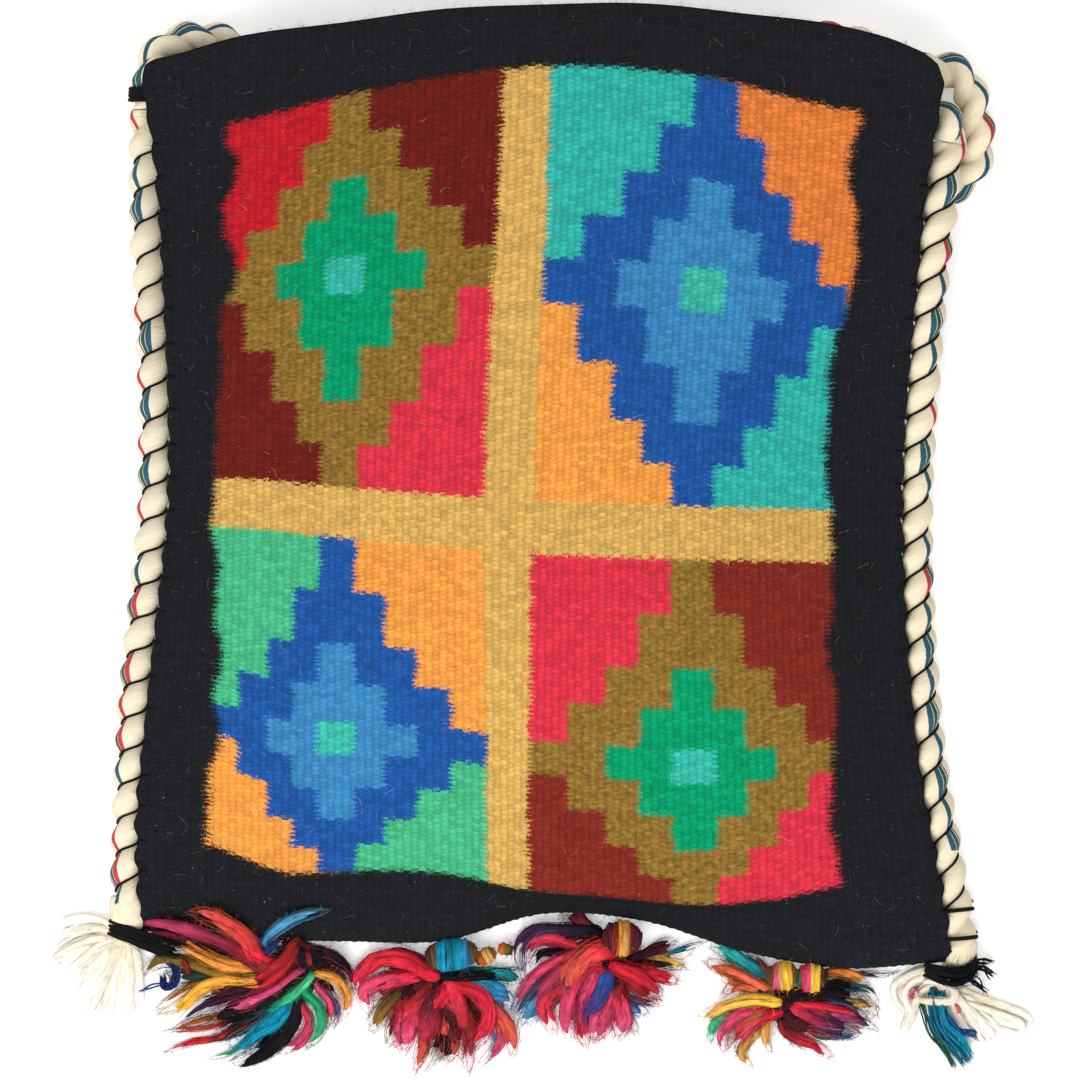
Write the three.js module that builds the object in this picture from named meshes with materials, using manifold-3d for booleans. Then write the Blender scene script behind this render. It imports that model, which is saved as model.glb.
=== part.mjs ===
// A woven wool shoulder bag lying on its back, with roped sides, a rope strap and wool tassels.
// Millimetres: +X across the bag, +Y towards its mouth, +Z up from the surface it lies on.
import * as THREE from "three";
import { mergeVertices } from "three/addons/utils/BufferGeometryUtils.js";
import Module from "manifold-3d";

const wasm = await Module();
wasm.setup();

// Driving dimensions
const clothThickness = 3;
const ropeDiameter = 13;
const ropeTurn = 22.6;
const strapSides = 10;
const strapSteps = 68;
const strapLead = 5;
const jointGap = 0.4;
const ropeSides = 9;
const ropeStepsPerTurn = 6;
const plyMean = 0.79;
const plyLobe = 0.2;

// Plan outline of the bag, at even steps along each edge
const leftSeamX = [-136, -133.5, -126.5, -128, -134];
const rightSeamX = [138.7, 127.2, 123.1, 127.5, 136.3];
const mouthY = [161.5, 171, 175.2, 179.7, 181.2, 181.6, 178.2, 173.5, 160];
const foldY = [-134, -136.5, -137.4, -137.2, -128, -130.5, -141, -146.6, -144.5];

// How far each mouth corner is rounded, as shares of the bag's width and length
const leftCorner = [0.016, 0.014];
const rightCorner = [0.034, 0.03];

// Heights of the cloth: the upper half is lifted by the strap that lies under it
const foldMiddle = 6;
const foldDepth = 0.055;
const crownAtFold = 12;
const crownFull = 29;
const backOverStrap = 14.2;
const seamLow = 8;
const leftSeamRise = 8.8;
const rightSeamRise = 19.5;
const rightRopeRise = 13.9;
const backMouthDrop = 2;
const frontSquareness = 4;
const backSquareness = 8;
const cornerLiftShare = 0.32;

// Where along the bag each of those rises starts and ends, as shares of its length
const crownRise = [0, 0.38];
const strapEdge = [0.34, 0.49];
const leftSeamLift = [0.5, 0.74];
const rightSeamLift = [0.46, 0.8];
const rightCornerLift = [0.8, 0.93];
const leftRopeTuck = [0.74, 0.97];

// Where the woven design changes, as shares of the bag's width and length
const fieldLeft = 0.078;
const bandLeft = 0.436;
const bandRight = 0.496;
const fieldRight = 0.891;
const fieldBottom = 0.08;
const bandBottom = 0.435;
const bandTop = 0.491;
const fieldTop = 0.923;
const diamondSteps = 4;
const narrowStep = 20;
const wideStep = 28;
const borderColumns = [0.035, 0.95];
const foldRows = [0.008, 0.025];
const hemRow = 0.965;

// The inside of the pouch, as shares of the width and length
const seamInset = 0.024;
const foldInset = 0.022;
const thinnestHalfGap = 0.35;
const insideRows = [0, 0.05, 0.16, 0.25, 0.33, 0.42, 0.52, 0.75, 1];

// Rope ends and tassels
const leftRopeSpan = [0.022, 0.946];
const rightRopeSpan = [0.016, 0.91];
const ropeOffset = ropeDiameter / 2 + jointGap;
const wrapLength = 6;
const endGap = 0.9;
const neckDrop = 3.4;
const neckRadius = 4.1;
const creamStrandRadius = 1.6;
const woolStrandRadius = 2.5;
const strandBend = 0.4;
const upperReach = 0.86;
const wrapGroove = 1.2;
const wrapRidge = 1.9;
const windingGroove = 0.07;

// Colours of the wool
const blackWool = new THREE.Color(0x121317);
const goldWool = new THREE.Color(0xbf9a42);
const creamWool = new THREE.Color(0xe6dfc9);
const reds = { first: 0xcf1846, second: 0x5a1716, outer: 0x7d6a1f, inner: 0x0a9a52, middle: 0x45c0bf };
const blues = { first: 0x1aa890, second: 0xe8822a, outer: 0x1746a0, inner: 0x2e74b8, middle: 0x2bb59a };

// A value read from evenly spaced stations along an edge
function along(stations, share) {
  const points = stations.map((value, i) => new THREE.Vector2(i / (stations.length - 1), value));
  return new THREE.SplineCurve(points).getPoint(share).y;
}

function ease([from, to], value) {
  return THREE.MathUtils.smoothstep(value, from, to);
}

// Draws the square patch at a mouth corner in to a quarter of a disc
function roundCorner(s, t) {
  const [width, length] = s < 0.5 ? leftCorner : rightCorner;
  const across = Math.max(0, 1 - Math.min(s, 1 - s) / width);
  const up = Math.max(0, 1 - (1 - t) / length);
  const inwards = width * across * (1 - Math.sqrt(1 - (up * up) / 2));
  const down = length * up * (1 - Math.sqrt(1 - (across * across) / 2));
  return [s < 0.5 ? s + inwards : s - inwards, t - down];
}

// A point of the bag's plan: four edges blended over the patch between them
function planPoint(s, t) {
  const { lerp } = THREE.MathUtils;
  const [across, up] = roundCorner(s, t);
  const sideX = lerp(along(leftSeamX, up), along(rightSeamX, up), across);
  const endY = lerp(along(foldY, across), along(mouthY, across), up);
  return new THREE.Vector2(sideX, endY);
}

function seamHeight(s, t) {
  const { lerp } = THREE.MathUtils;
  const left = seamLow + leftSeamRise * ease(leftSeamLift, t);
  const rightLift = lerp(ease(rightSeamLift, t), ease(rightCornerLift, t), cornerLiftShare);
  return lerp(left, seamLow + rightSeamRise * rightLift, s);
}

function foldRound(t) {
  const inside = 1 - Math.min(t / foldDepth, 1);
  return Math.sqrt(1 - inside * inside);
}

function frontHeight(s, t) {
  const crown = THREE.MathUtils.lerp(crownAtFold, crownFull, ease(crownRise, t));
  const seam = seamHeight(s, t) + clothThickness;
  const full = THREE.MathUtils.lerp(crown, seam, Math.abs(2 * s - 1) ** frontSquareness);
  return THREE.MathUtils.lerp(foldMiddle, full, foldRound(t));
}

function backHeight(s, t) {
  const lying = backOverStrap * ease(strapEdge, t);
  const seam = seamHeight(s, t) - clothThickness;
  const full = THREE.MathUtils.lerp(lying, seam, Math.abs(2 * s - 1) ** backSquareness);
  return THREE.MathUtils.lerp(foldMiddle, full, foldRound(t));
}

function frontPoint(s, t) {
  const plan = planPoint(s, t);
  return new THREE.Vector3(plan.x, plan.y, frontHeight(s, t));
}

function backPoint(s, t) {
  const plan = planPoint(s, t);
  return new THREE.Vector3(plan.x, plan.y - backMouthDrop * t * t, backHeight(s, t));
}

// The two inner faces close to one line at the seams and at the fold
function insidePoint(s, t, side, closed) {
  const front = frontPoint(s, t);
  const back = backPoint(s, t);
  const open = (front.z - back.z) / 2 - clothThickness;
  const half = closed ? 0 : Math.max(open, thinnestHalfGap);
  const y = closed ? (front.y + back.y) / 2 : side > 0 ? front.y : back.y;
  return new THREE.Vector3(front.x, y, (front.z + back.z) / 2 + side * half);
}

// Grid lines of one design quarter: a stepped diamond of one narrow and several wide steps
function quarterColumns(from, to) {
  const reach = narrowStep + diamondSteps * wideStep;
  const lines = [];
  for (let step = 0; step < diamondSteps; step++) {
    lines.push((narrowStep + step * wideStep) / reach);
  }
  const shares = [...lines.map((line) => -line).reverse(), ...lines];
  return shares.map((share) => (from + to) / 2 + (share * (to - from)) / 2);
}

function quarterRows(from, to) {
  const levels = 2 * diamondSteps + 1;
  return Array.from({ length: levels - 1 }, (_, i) => from + ((to - from) * (i + 1)) / levels);
}

const columns = [
  0, borderColumns[0], fieldLeft, ...quarterColumns(fieldLeft, bandLeft), bandLeft,
  bandRight, ...quarterColumns(bandRight, fieldRight), fieldRight, borderColumns[1], 1,
];
const rows = [
  0, ...foldRows, foldDepth, fieldBottom, ...quarterRows(fieldBottom, bandBottom), bandBottom,
  bandTop, ...quarterRows(bandTop, fieldTop), fieldTop, hemRow, 1,
];

// The wool colour at the middle of a cell of the design
function weaveColour(s, t) {
  if (s < fieldLeft || s > fieldRight || t < fieldBottom || t > fieldTop) return blackWool;
  const onBand = (s > bandLeft && s < bandRight) || (t > bandBottom && t < bandTop);
  if (onBand) return goldWool;
  const left = s < bandLeft;
  const upper = t > bandTop;
  const [x0, x1] = left ? [fieldLeft, bandLeft] : [bandRight, fieldRight];
  const [y0, y1] = upper ? [bandTop, fieldTop] : [fieldBottom, bandBottom];
  const across = (2 * s - x0 - x1) / (x1 - x0);
  const up = (2 * t - y0 - y1) / (y1 - y0);
  const reach = narrowStep + diamondSteps * wideStep;
  const column = Math.max(0, Math.ceil((Math.abs(across) * reach - narrowStep) / wideStep));
  const level = Math.round((Math.abs(up) * (2 * diamondSteps + 1)) / 2);
  const wools = left === upper ? reds : blues;
  if (column + level === 0) return new THREE.Color(wools.middle);
  if (column + level <= diamondSteps / 2) return new THREE.Color(wools.inner);
  if (column + level <= diamondSteps) return new THREE.Color(wools.outer);
  return new THREE.Color(across > 0 === up > 0 ? wools.second : wools.first);
}

// Faces gathered as coloured triangles, with the flat ones at a closed edge left out
function faceList() {
  const positions = [];
  const colours = [];
  const triangle = (corners, colour) => {
    const [a, b, c] = corners;
    if (a.equals(b) || b.equals(c) || c.equals(a)) return;
    for (const corner of corners) {
      positions.push(corner.x, corner.y, corner.z);
      colours.push(colour.r, colour.g, colour.b);
    }
  };
  const quad = (a, b, c, d, colour) => {
    triangle([a, b, c], colour);
    triangle([a, c, d], colour);
  };
  const geometry = () => {
    const made = new THREE.BufferGeometry();
    made.setAttribute("position", new THREE.Float32BufferAttribute(positions, 3));
    made.setAttribute("color", new THREE.Float32BufferAttribute(colours, 3));
    made.computeVertexNormals();
    return made;
  };
  return { triangle, quad, geometry };
}

// The folded cloth: outer faces, side edges, inner faces and the rim of the mouth
function wovenBody() {
  const faces = faceList();
  const front = rows.map((t) => columns.map((s) => frontPoint(s, t)));
  const back = rows.map((t) => columns.map((s) => backPoint(s, t)));
  const last = columns.length - 1;
  const inside = (side) => insideRows.map((share, row) => columns.map((s, column) => {
    const closed = row === 0 || column === 0 || column === last;
    const inner = seamInset + s * (1 - 2 * seamInset);
    return insidePoint(inner, foldInset + share * (1 - foldInset), side, closed);
  }));
  const roof = inside(1);
  const floor = inside(-1);
  for (let i = 0; i + 1 < rows.length; i++) {
    for (let j = 0; j < last; j++) {
      const colour = weaveColour((columns[j] + columns[j + 1]) / 2, (rows[i] + rows[i + 1]) / 2);
      faces.quad(front[i][j], front[i][j + 1], front[i + 1][j + 1], front[i + 1][j], colour);
      faces.quad(back[i][j], back[i + 1][j], back[i + 1][j + 1], back[i][j + 1], blackWool);
    }
    faces.quad(back[i][0], front[i][0], front[i + 1][0], back[i + 1][0], blackWool);
    faces.quad(back[i][last], back[i + 1][last], front[i + 1][last], front[i][last], blackWool);
  }
  for (let i = 0; i + 1 < insideRows.length; i++) {
    for (let j = 0; j < last; j++) {
      faces.quad(roof[i][j], roof[i + 1][j], roof[i + 1][j + 1], roof[i][j + 1], blackWool);
      faces.quad(floor[i][j], floor[i][j + 1], floor[i + 1][j + 1], floor[i + 1][j], blackWool);
    }
  }
  const [topFront, topBack, topRoof, topFloor] = [front, back, roof, floor].map((grid) => grid.at(-1));
  for (let j = 0; j < last; j++) {
    faces.quad(topFront[j], topFront[j + 1], topRoof[j + 1], topRoof[j], blackWool);
    faces.quad(topFloor[j], topFloor[j + 1], topBack[j + 1], topBack[j], blackWool);
  }
  faces.triangle([topBack[0], topFront[0], topRoof[0]], blackWool);
  faces.triangle([topFront[last], topBack[last], topRoof[last]], blackWool);
  return faces.geometry();
}

// Where a side rope's centre line lies beside its seam
function leftRopePoint(t) {
  const outwards = ropeOffset * (1 - ease(leftRopeTuck, t));
  return new THREE.Vector3(along(leftSeamX, t) - outwards, planPoint(0, t).y, ropeDiameter / 2);
}

function rightRopePoint(t) {
  const z = ropeDiameter / 2 + rightRopeRise * ease(rightSeamLift, t);
  return new THREE.Vector3(along(rightSeamX, t) + ropeOffset, planPoint(1, t).y, z);
}

function ropeCurve(pointAt, [from, to]) {
  const count = 12;
  const points = Array.from({ length: count }, (_, i) => pointAt(from + ((to - from) * i) / (count - 1)));
  return new THREE.CatmullRomCurve3(points);
}

// A two-ply rope: a waisted section that turns as it runs along the curve
function twistedRope(curve) {
  const around = ropeSides;
  const steps = Math.round((curve.getLength() / ropeTurn) * ropeStepsPerTurn);
  const frames = curve.computeFrenetFrames(steps, false);
  const rings = Array.from({ length: steps + 1 }, (_, i) => {
    const centre = curve.getPointAt(i / steps);
    const turned = (-2 * Math.PI * curve.getLength() * i) / steps / ropeTurn;
    return Array.from({ length: around }, (_, k) => {
      const angle = (2 * Math.PI * k) / around;
      const radius = (ropeDiameter / 2) * (plyMean + plyLobe * Math.cos(2 * (angle - turned)));
      const across = frames.normals[i].clone().multiplyScalar(radius * Math.cos(angle));
      const up = frames.binormals[i].clone().multiplyScalar(radius * Math.sin(angle));
      return centre.clone().add(across).add(up);
    });
  });
  const faces = faceList();
  for (let i = 0; i < steps; i++) {
    for (let k = 0; k < around; k++) {
      const next = (k + 1) % around;
      faces.quad(rings[i][k], rings[i][next], rings[i + 1][next], rings[i + 1][k], creamWool);
    }
  }
  const [start, end] = [curve.getPointAt(0), curve.getPointAt(1)];
  for (let k = 0; k < around; k++) {
    const next = (k + 1) % around;
    faces.triangle([start, rings[0][next], rings[0][k]], creamWool);
    faces.triangle([end, rings[steps][k], rings[steps][next]], creamWool);
  }
  return faces.geometry();
}

function ringShape(radius, sides) {
  const points = Array.from({ length: sides }, (_, k) => {
    const angle = (2 * Math.PI * k) / sides;
    return new THREE.Vector2(radius * Math.cos(angle), radius * Math.sin(angle));
  });
  return new THREE.Shape(points);
}

function tube(curve, radius, sides, steps) {
  return new THREE.ExtrudeGeometry(ringShape(radius, sides), { steps, extrudePath: curve });
}

// The strap's route on the floor: a loop over the left corner, runs hidden under the bag,
// a bight out past the right corner, and a turn back up to the right side rope
const strapLevel = ropeDiameter / 2 + 0.3;
const strapRoute = [
  [-127.6, 166.4], [-113.9, 172], [-100.2, 166.4], [-94.5, 152.7],
  [-94.5, 106], [-94.5, 59.5], [-86.5, 40.1], [-67.2, 32.1], [-47.8, 40.1], [-39.8, 59.5],
  [-39.8, 122.4], [-31.8, 141.6], [-12.6, 149.6], [6.7, 141.6], [14.6, 122.4],
  [14.6, 59.5], [22.2, 41.2], [40.5, 33.7], [58.7, 41.2], [66.3, 59.5],
  [66.3, 122.4], [70.5, 146], [84, 164], [98.6, 171.4], [111, 167.4], [123, 161.9],
  [137, 160.5], [145.4, 157.4], [150.6, 150], [152, 140.5], [150.4, 131], [145.4, 124.4],
  [137, 120.5], [121, 114], [105.4, 106.8], [91.8, 112.5], [86, 126.1], [91.8, 139.7], [105.4, 145.5],
];
const strapRise = [[121, 145.5, 10.4], [133, 143, 14.6]];

// Each end of the strap runs straight on from a side rope before it bends
function strapLeads(rope) {
  const [end, tangent] = [rope.getPointAt(1), rope.getTangentAt(1)];
  return [jointGap, strapLead].map((run) => end.clone().addScaledVector(tangent, run));
}

function strapCurve(leftRope, rightRope) {
  const flat = strapRoute.map(([x, y]) => new THREE.Vector3(x, y, strapLevel));
  const rising = strapRise.map(([x, y, z]) => new THREE.Vector3(x, y, z));
  const [start, finish] = [strapLeads(leftRope), strapLeads(rightRope).reverse()];
  return new THREE.CatmullRomCurve3([...start, ...flat, ...rising, ...finish]);
}

// Solids joined and handed back as geometry
function toSolid(geometry) {
  const bare = geometry.clone();
  bare.deleteAttribute("normal");
  bare.deleteAttribute("uv");
  const merged = mergeVertices(bare);
  const vertProperties = merged.attributes.position.array;
  const triVerts = new Uint32Array(merged.index.array);
  return new wasm.Manifold(new wasm.Mesh({ numProp: 3, vertProperties, triVerts }));
}

function joined(geometries) {
  const [first, ...others] = geometries.map(toSolid);
  const mesh = others.reduce((sum, solid) => sum.add(solid), first).getMesh();
  const geometry = new THREE.BufferGeometry();
  geometry.setAttribute("position", new THREE.BufferAttribute(mesh.vertProperties, 3));
  geometry.setIndex(new THREE.BufferAttribute(mesh.triVerts, 1));
  geometry.computeVertexNormals();
  return geometry;
}

// One strand that leaves the neck, arches over and comes down at its tip
function strand(neck, degrees, reach, radius, topHeight, tipHeight) {
  const angle = THREE.MathUtils.degToRad(degrees);
  const at = (share, z) => new THREE.Vector3(
    neck.x + share * reach * Math.cos(angle), neck.y + share * reach * Math.sin(angle), z);
  const curve = new THREE.CatmullRomCurve3([at(0, neck.z), at(strandBend, topHeight), at(1, tipHeight)]);
  return tube(curve, radius, 5, 3);
}

// A fan of strands about a neck, in two layers, with reach read along the fan
function fan(neck, { degrees, reach, count, over = [] }, radius, collar) {
  const strands = Array.from({ length: count }, (_, i) => {
    const share = i / (count - 1);
    const turn = THREE.MathUtils.lerp(degrees[0], degrees[1], share);
    const layer = i % 2;
    const length = along(reach, share) * (layer ? upperReach : 1) - radius;
    return strand(neck, turn, length, radius, neck.z + layer * radius, radius * (1.1 + layer));
  });
  const laid = over.map(([turn, length, top, tip]) => strand(neck, turn, length, radius, top, tip));
  const ball = new THREE.SphereGeometry(collar, 8, 6).translate(neck.x, neck.y, neck.z);
  return joined([ball, ...strands, ...laid]);
}

// A wound ball of yarn: a lathe profile with one rounded ridge for each turn
function woundBall(radius) {
  const ridges = 3;
  const points = [];
  for (let i = 0; i <= 4 * ridges; i++) {
    const angle = (Math.PI * i) / (4 * ridges);
    const swell = 1 - windingGroove * Math.cos(2 * ridges * angle) ** 2;
    points.push(new THREE.Vector2(Math.sin(angle) * radius * swell, -Math.cos(angle) * radius));
  }
  points[0].x = 0;
  points.at(-1).x = 0;
  return new THREE.LatheGeometry(points, 9);
}

// Yarn wound about the rope's end: a ring with one rounded ridge for each turn
function yarnWrap() {
  const turns = 3;
  const inner = neckRadius + jointGap;
  const pitch = wrapLength / turns;
  const points = [new THREE.Vector2(inner, 0)];
  for (let turn = 0; turn < turns; turn++) {
    points.push(new THREE.Vector2(inner + wrapGroove, turn * pitch));
    points.push(new THREE.Vector2(inner + wrapRidge, (turn + 0.5) * pitch));
  }
  points.push(new THREE.Vector2(inner + wrapGroove, wrapLength));
  points.push(new THREE.Vector2(inner, wrapLength));
  points.push(points[0].clone());
  return new THREE.LatheGeometry(points, 12);
}

function wool(colour) {
  return new THREE.MeshStandardMaterial({ color: colour, roughness: 0.95, metalness: 0 });
}

const patternedWool = new THREE.MeshStandardMaterial({ vertexColors: true, roughness: 0.95, metalness: 0 });
const bag = new THREE.Group();

function addPiece(name, geometry, material) {
  const mesh = new THREE.Mesh(geometry, material);
  mesh.name = name;
  bag.add(mesh);
  return mesh;
}

addPiece("woven_body", wovenBody(), patternedWool);

// Side ropes and the strap that is one length with them
const leftRope = ropeCurve(leftRopePoint, leftRopeSpan);
const rightRope = ropeCurve(rightRopePoint, rightRopeSpan);
addPiece("left_side_rope", twistedRope(leftRope), wool(creamWool));
addPiece("right_side_rope", twistedRope(rightRope), wool(creamWool));
const strap = strapCurve(leftRope, rightRope);
addPiece("strap", tube(strap, ropeDiameter / 2, strapSides, strapSteps), wool(creamWool));

// Each rope ends in a black wrap and a tassel of its own cream strands
const ropeEnds = {
  left: { rope: leftRope, degrees: [176, 305], reach: [26, 29, 29, 28, 24], count: 10 },
  right: { rope: rightRope, degrees: [205, 335], reach: [24, 29, 34, 34, 30], count: 10 },
};
for (const [side, { rope, ...settings }] of Object.entries(ropeEnds)) {
  const start = rope.getPointAt(0);
  const wrap = addPiece(`${side}_rope_wrap`, yarnWrap(), wool(blackWool));
  wrap.rotation.x = Math.PI;
  wrap.geometry.translate(0, endGap, 0);
  wrap.position.copy(start);
  const neck = start.clone().setY(start.y - wrapLength - neckDrop);
  const stemLength = wrapLength + neckDrop - endGap;
  const stem = new THREE.CylinderGeometry(neckRadius, neckRadius, stemLength, 10);
  stem.translate(start.x, start.y - endGap - stemLength / 2, start.z);
  const strands = fan(neck, settings, creamStrandRadius, neckRadius);
  addPiece(`${side}_rope_tassel`, joined([stem, strands]), wool(creamWool));
}

// Four wool tassels along the fold: a wound head and a fan of strands
const foldTassels = [
  {
    x: -79.6, head: 4.6, colour: 0xa5213c,
    degrees: [176, 322], reach: [48, 50, 30, 21, 17], count: 10, over: [[161, 55, 12, 15], [150, 44, 13, 16]],
  },
  { x: -30.8, head: 6.5, colour: 0xc8203f, degrees: [162, 346], reach: [30, 33, 31, 31, 21], count: 10 },
  { x: 28.6, head: 6.5, colour: 0xd02344, degrees: [168, 374], reach: [37, 39, 27, 20, 22], count: 10 },
  { x: 86, head: 6, colour: 0xd98a2b, degrees: [152, 378], reach: [33, 31, 18, 26, 29], count: 10 },
];
foldTassels.forEach(({ x, head, colour, ...settings }, i) => {
  const share = (x - leftSeamX[0]) / (rightSeamX[0] - leftSeamX[0]);
  const y = along(foldY, share) - jointGap - head;
  const ball = addPiece(`tassel_${i + 1}_head`, woundBall(head), wool(colour));
  ball.rotation.z = Math.PI / 2;
  ball.position.set(x, y, head + 0.3);
  const collar = woolStrandRadius * 1.5;
  const neck = new THREE.Vector3(x, y - head - jointGap - collar, woolStrandRadius * 2.1);
  addPiece(`tassel_${i + 1}_skirt`, fan(neck, settings, woolStrandRadius, collar), wool(colour));
});

export default bag;
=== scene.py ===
import math

import bmesh
import bpy
import numpy as np
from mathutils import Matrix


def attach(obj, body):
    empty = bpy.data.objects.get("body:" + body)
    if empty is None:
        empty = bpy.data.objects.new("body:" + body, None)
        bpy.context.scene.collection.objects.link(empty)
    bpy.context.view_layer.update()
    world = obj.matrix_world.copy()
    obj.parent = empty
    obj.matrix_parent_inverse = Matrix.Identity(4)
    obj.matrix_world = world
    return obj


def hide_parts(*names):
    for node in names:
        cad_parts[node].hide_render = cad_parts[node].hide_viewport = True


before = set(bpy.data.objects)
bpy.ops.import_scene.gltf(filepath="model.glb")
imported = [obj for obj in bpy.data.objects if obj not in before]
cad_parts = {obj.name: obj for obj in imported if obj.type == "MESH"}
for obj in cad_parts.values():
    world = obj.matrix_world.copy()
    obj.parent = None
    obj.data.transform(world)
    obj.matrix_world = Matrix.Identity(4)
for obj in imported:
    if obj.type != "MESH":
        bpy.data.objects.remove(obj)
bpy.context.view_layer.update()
print("frame loaded:", len(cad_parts), "nodes")

mm = 0.001
draw = np.random.default_rng(11)  # every loose fibre comes from this one seed


def linear(code):  # a colour written as red, green and blue pairs
    parts = [int(code[i:i + 2], 16) / 255 for i in (0, 2, 4)]
    return tuple(p / 12.92 if p <= 0.04045 else ((p + 0.055) / 1.055) ** 2.4 for p in parts) + (1.0,)


woolCodes = {
    # shadedCream and litCream are the rope's cream made darker and lighter: painted shade on the left rope,
    # painted light on the strap
    "black": "17181b", "ink": "151517", "white": "f4efe4", "litCream": "faecce", "cream": "efe1c3",
    "shadedCream": "e8dcc1", "gold": "d4a65b", "straw": "dfb25d", "yellow": "f4bd3e", "olive": "a17c36",
    "khaki": "785c25", "orange": "f39e46", "amber": "e57f3b", "rust": "b8602f", "brown": "6e4a2c",
    "umber": "4a3023", "coral": "e5604f", "red": "d8283a", "crimson": "dc3348", "cherry": "c21e2a",
    "brick": "bd3f4a", "maroon": "832a21", "oxblood": "6d1e17", "wine": "55202a", "pink": "d8527c",
    "berry": "b03a5c", "purple": "4d2c52", "green": "009a67", "leaf": "48b883", "forest": "2b5648",
    "mint": "3db9a6", "aqua": "37b7a6", "teal": "32b4a8", "turquoise": "1596b4", "petrol": "1d6d86",
    "slate": "2f5a6b", "sky": "5b9fcb", "steel": "3a86bd", "royal": "1f559f", "blue": "2f4f9f",
    "navy": "1f2f63", "grey": "8c8a88",
}
wool = {name: linear(code) for name, code in woolCodes.items()}

# Camera: straight down on the bag, the photograph's square frame at the height of the cloth
cameraSettings = {"lens": 196.0, "distance": 2.0, "sharpHeight": 18 * mm}
cameraData = bpy.data.cameras.new("camera")
cameraData.lens = cameraSettings["lens"]
camera = bpy.data.objects.new("camera", cameraData)
camera.location = (0, 0, cameraSettings["sharpHeight"] + cameraSettings["distance"])
bpy.context.scene.collection.objects.link(camera)
bpy.context.scene.camera = camera
bpy.context.scene.view_settings.view_transform = "Standard"


# Shader helpers
def addNode(tree, kind, **settings):
    node = tree.nodes.new(kind)
    for key, value in settings.items():
        setattr(node, key, value)
    return node


def feed(tree, socket, value):
    if isinstance(value, bpy.types.NodeSocket):
        tree.links.new(value, socket)
    else:
        socket.default_value = value


def calc(tree, operation, *values):
    node = addNode(tree, "ShaderNodeMath", operation=operation)
    for socket, value in zip(node.inputs, values):
        feed(tree, socket, value)
    return node.outputs[0]


def mixColour(tree, share, first, second):
    node = addNode(tree, "ShaderNodeMix", data_type="RGBA")
    feed(tree, node.inputs[0], share)
    feed(tree, node.inputs[6], first)
    feed(tree, node.inputs[7], second)
    return node.outputs[2]


def mixValue(tree, share, first, second):
    node = addNode(tree, "ShaderNodeMix", data_type="FLOAT")
    feed(tree, node.inputs[0], share)
    feed(tree, node.inputs[2], first)
    feed(tree, node.inputs[3], second)
    return node.outputs[0]


def scaled(tree, vector, factor):
    node = addNode(tree, "ShaderNodeVectorMath", operation="SCALE")
    feed(tree, node.inputs[0], vector)
    feed(tree, node.inputs["Scale"], factor)
    return node.outputs[0]


def noise(tree, vector, scale, detail=2.0):
    node = addNode(tree, "ShaderNodeTexNoise")
    feed(tree, node.inputs["Vector"], vector)
    node.inputs["Scale"].default_value = scale
    node.inputs["Detail"].default_value = detail
    return node.outputs["Fac"]


def spread(tree, value, low, high):  # a share between two values
    return calc(tree, "MULTIPLY_ADD", value, high - low, low)


def shareOf(tree, value, low, high):  # 0 at the low place and 1 at the high one
    return calc(tree, "MULTIPLY", calc(tree, "SUBTRACT", value, low), 1 / (high - low))


def times(tree, first, *others):
    for other in others:
        first = calc(tree, "MULTIPLY", first, other)
    return first


def past(tree, value, edge, fade):  # 0 before an edge and 1 past it, with a soft step between
    node = addNode(tree, "ShaderNodeMapRange")
    feed(tree, node.inputs["Value"], value)
    node.inputs["From Min"].default_value = edge - fade / 2
    node.inputs["From Max"].default_value = edge + fade / 2
    return node.outputs["Result"]


def within(tree, value, low, high):
    return calc(tree, "COMPARE", value, (low + high) / 2, (high - low) / 2)


def newGroup(name, inputs, outputs):
    tree = bpy.data.node_groups.new(name, "ShaderNodeTree")
    for label, kind in inputs:
        tree.interface.new_socket(label, in_out="INPUT", socket_type=kind)
    for label, kind in outputs:
        tree.interface.new_socket(label, in_out="OUTPUT", socket_type=kind)
    return tree, addNode(tree, "NodeGroupInput"), addNode(tree, "NodeGroupOutput")


def fibreGroup():  # drawn-out wool fibres: long along the yarn, fine across it
    tree, source, result = newGroup(
        "woolFibre",
        [("Vector", "NodeSocketVector"), ("Along", "NodeSocketFloat"), ("Across", "NodeSocketFloat")],
        [("Streak", "NodeSocketFloat"), ("Height", "NodeSocketFloat")])
    axes = addNode(tree, "ShaderNodeCombineXYZ")
    feed(tree, axes.inputs["X"], source.outputs["Across"])
    feed(tree, axes.inputs["Y"], source.outputs["Across"])
    feed(tree, axes.inputs["Z"], source.outputs["Along"])
    drawn = addNode(tree, "ShaderNodeVectorMath", operation="MULTIPLY")
    feed(tree, drawn.inputs[0], source.outputs["Vector"])
    feed(tree, drawn.inputs[1], axes.outputs[0])
    coarse = noise(tree, drawn.outputs[0], 1.0, 3.0)
    fine = noise(tree, drawn.outputs[0], 3.1, 2.0)
    feed(tree, result.inputs["Streak"], coarse)
    feed(tree, result.inputs["Height"], calc(tree, "MULTIPLY_ADD", fine, 0.6, coarse))
    return tree


# How the cloth was woven: the size and lean of a bead, how straight rows and columns run,
# and how far the fibres carry a colour past its edge, all in columns and rows
weaving = {
    "beadWidth": 0.58, "beadHeight": 0.7, "lean": -0.14,
    "swayScale": 0.45, "sway": (0.7, 1.3, 0.0),
    "fuzzScale": 4.5, "fuzzUp": 2.6, "fuzzAside": 3.0,
    "teeth": (-0.33, 0.97), "unevenScale": 0.3, "uneven": (-0.8, 0.8),
}


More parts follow.
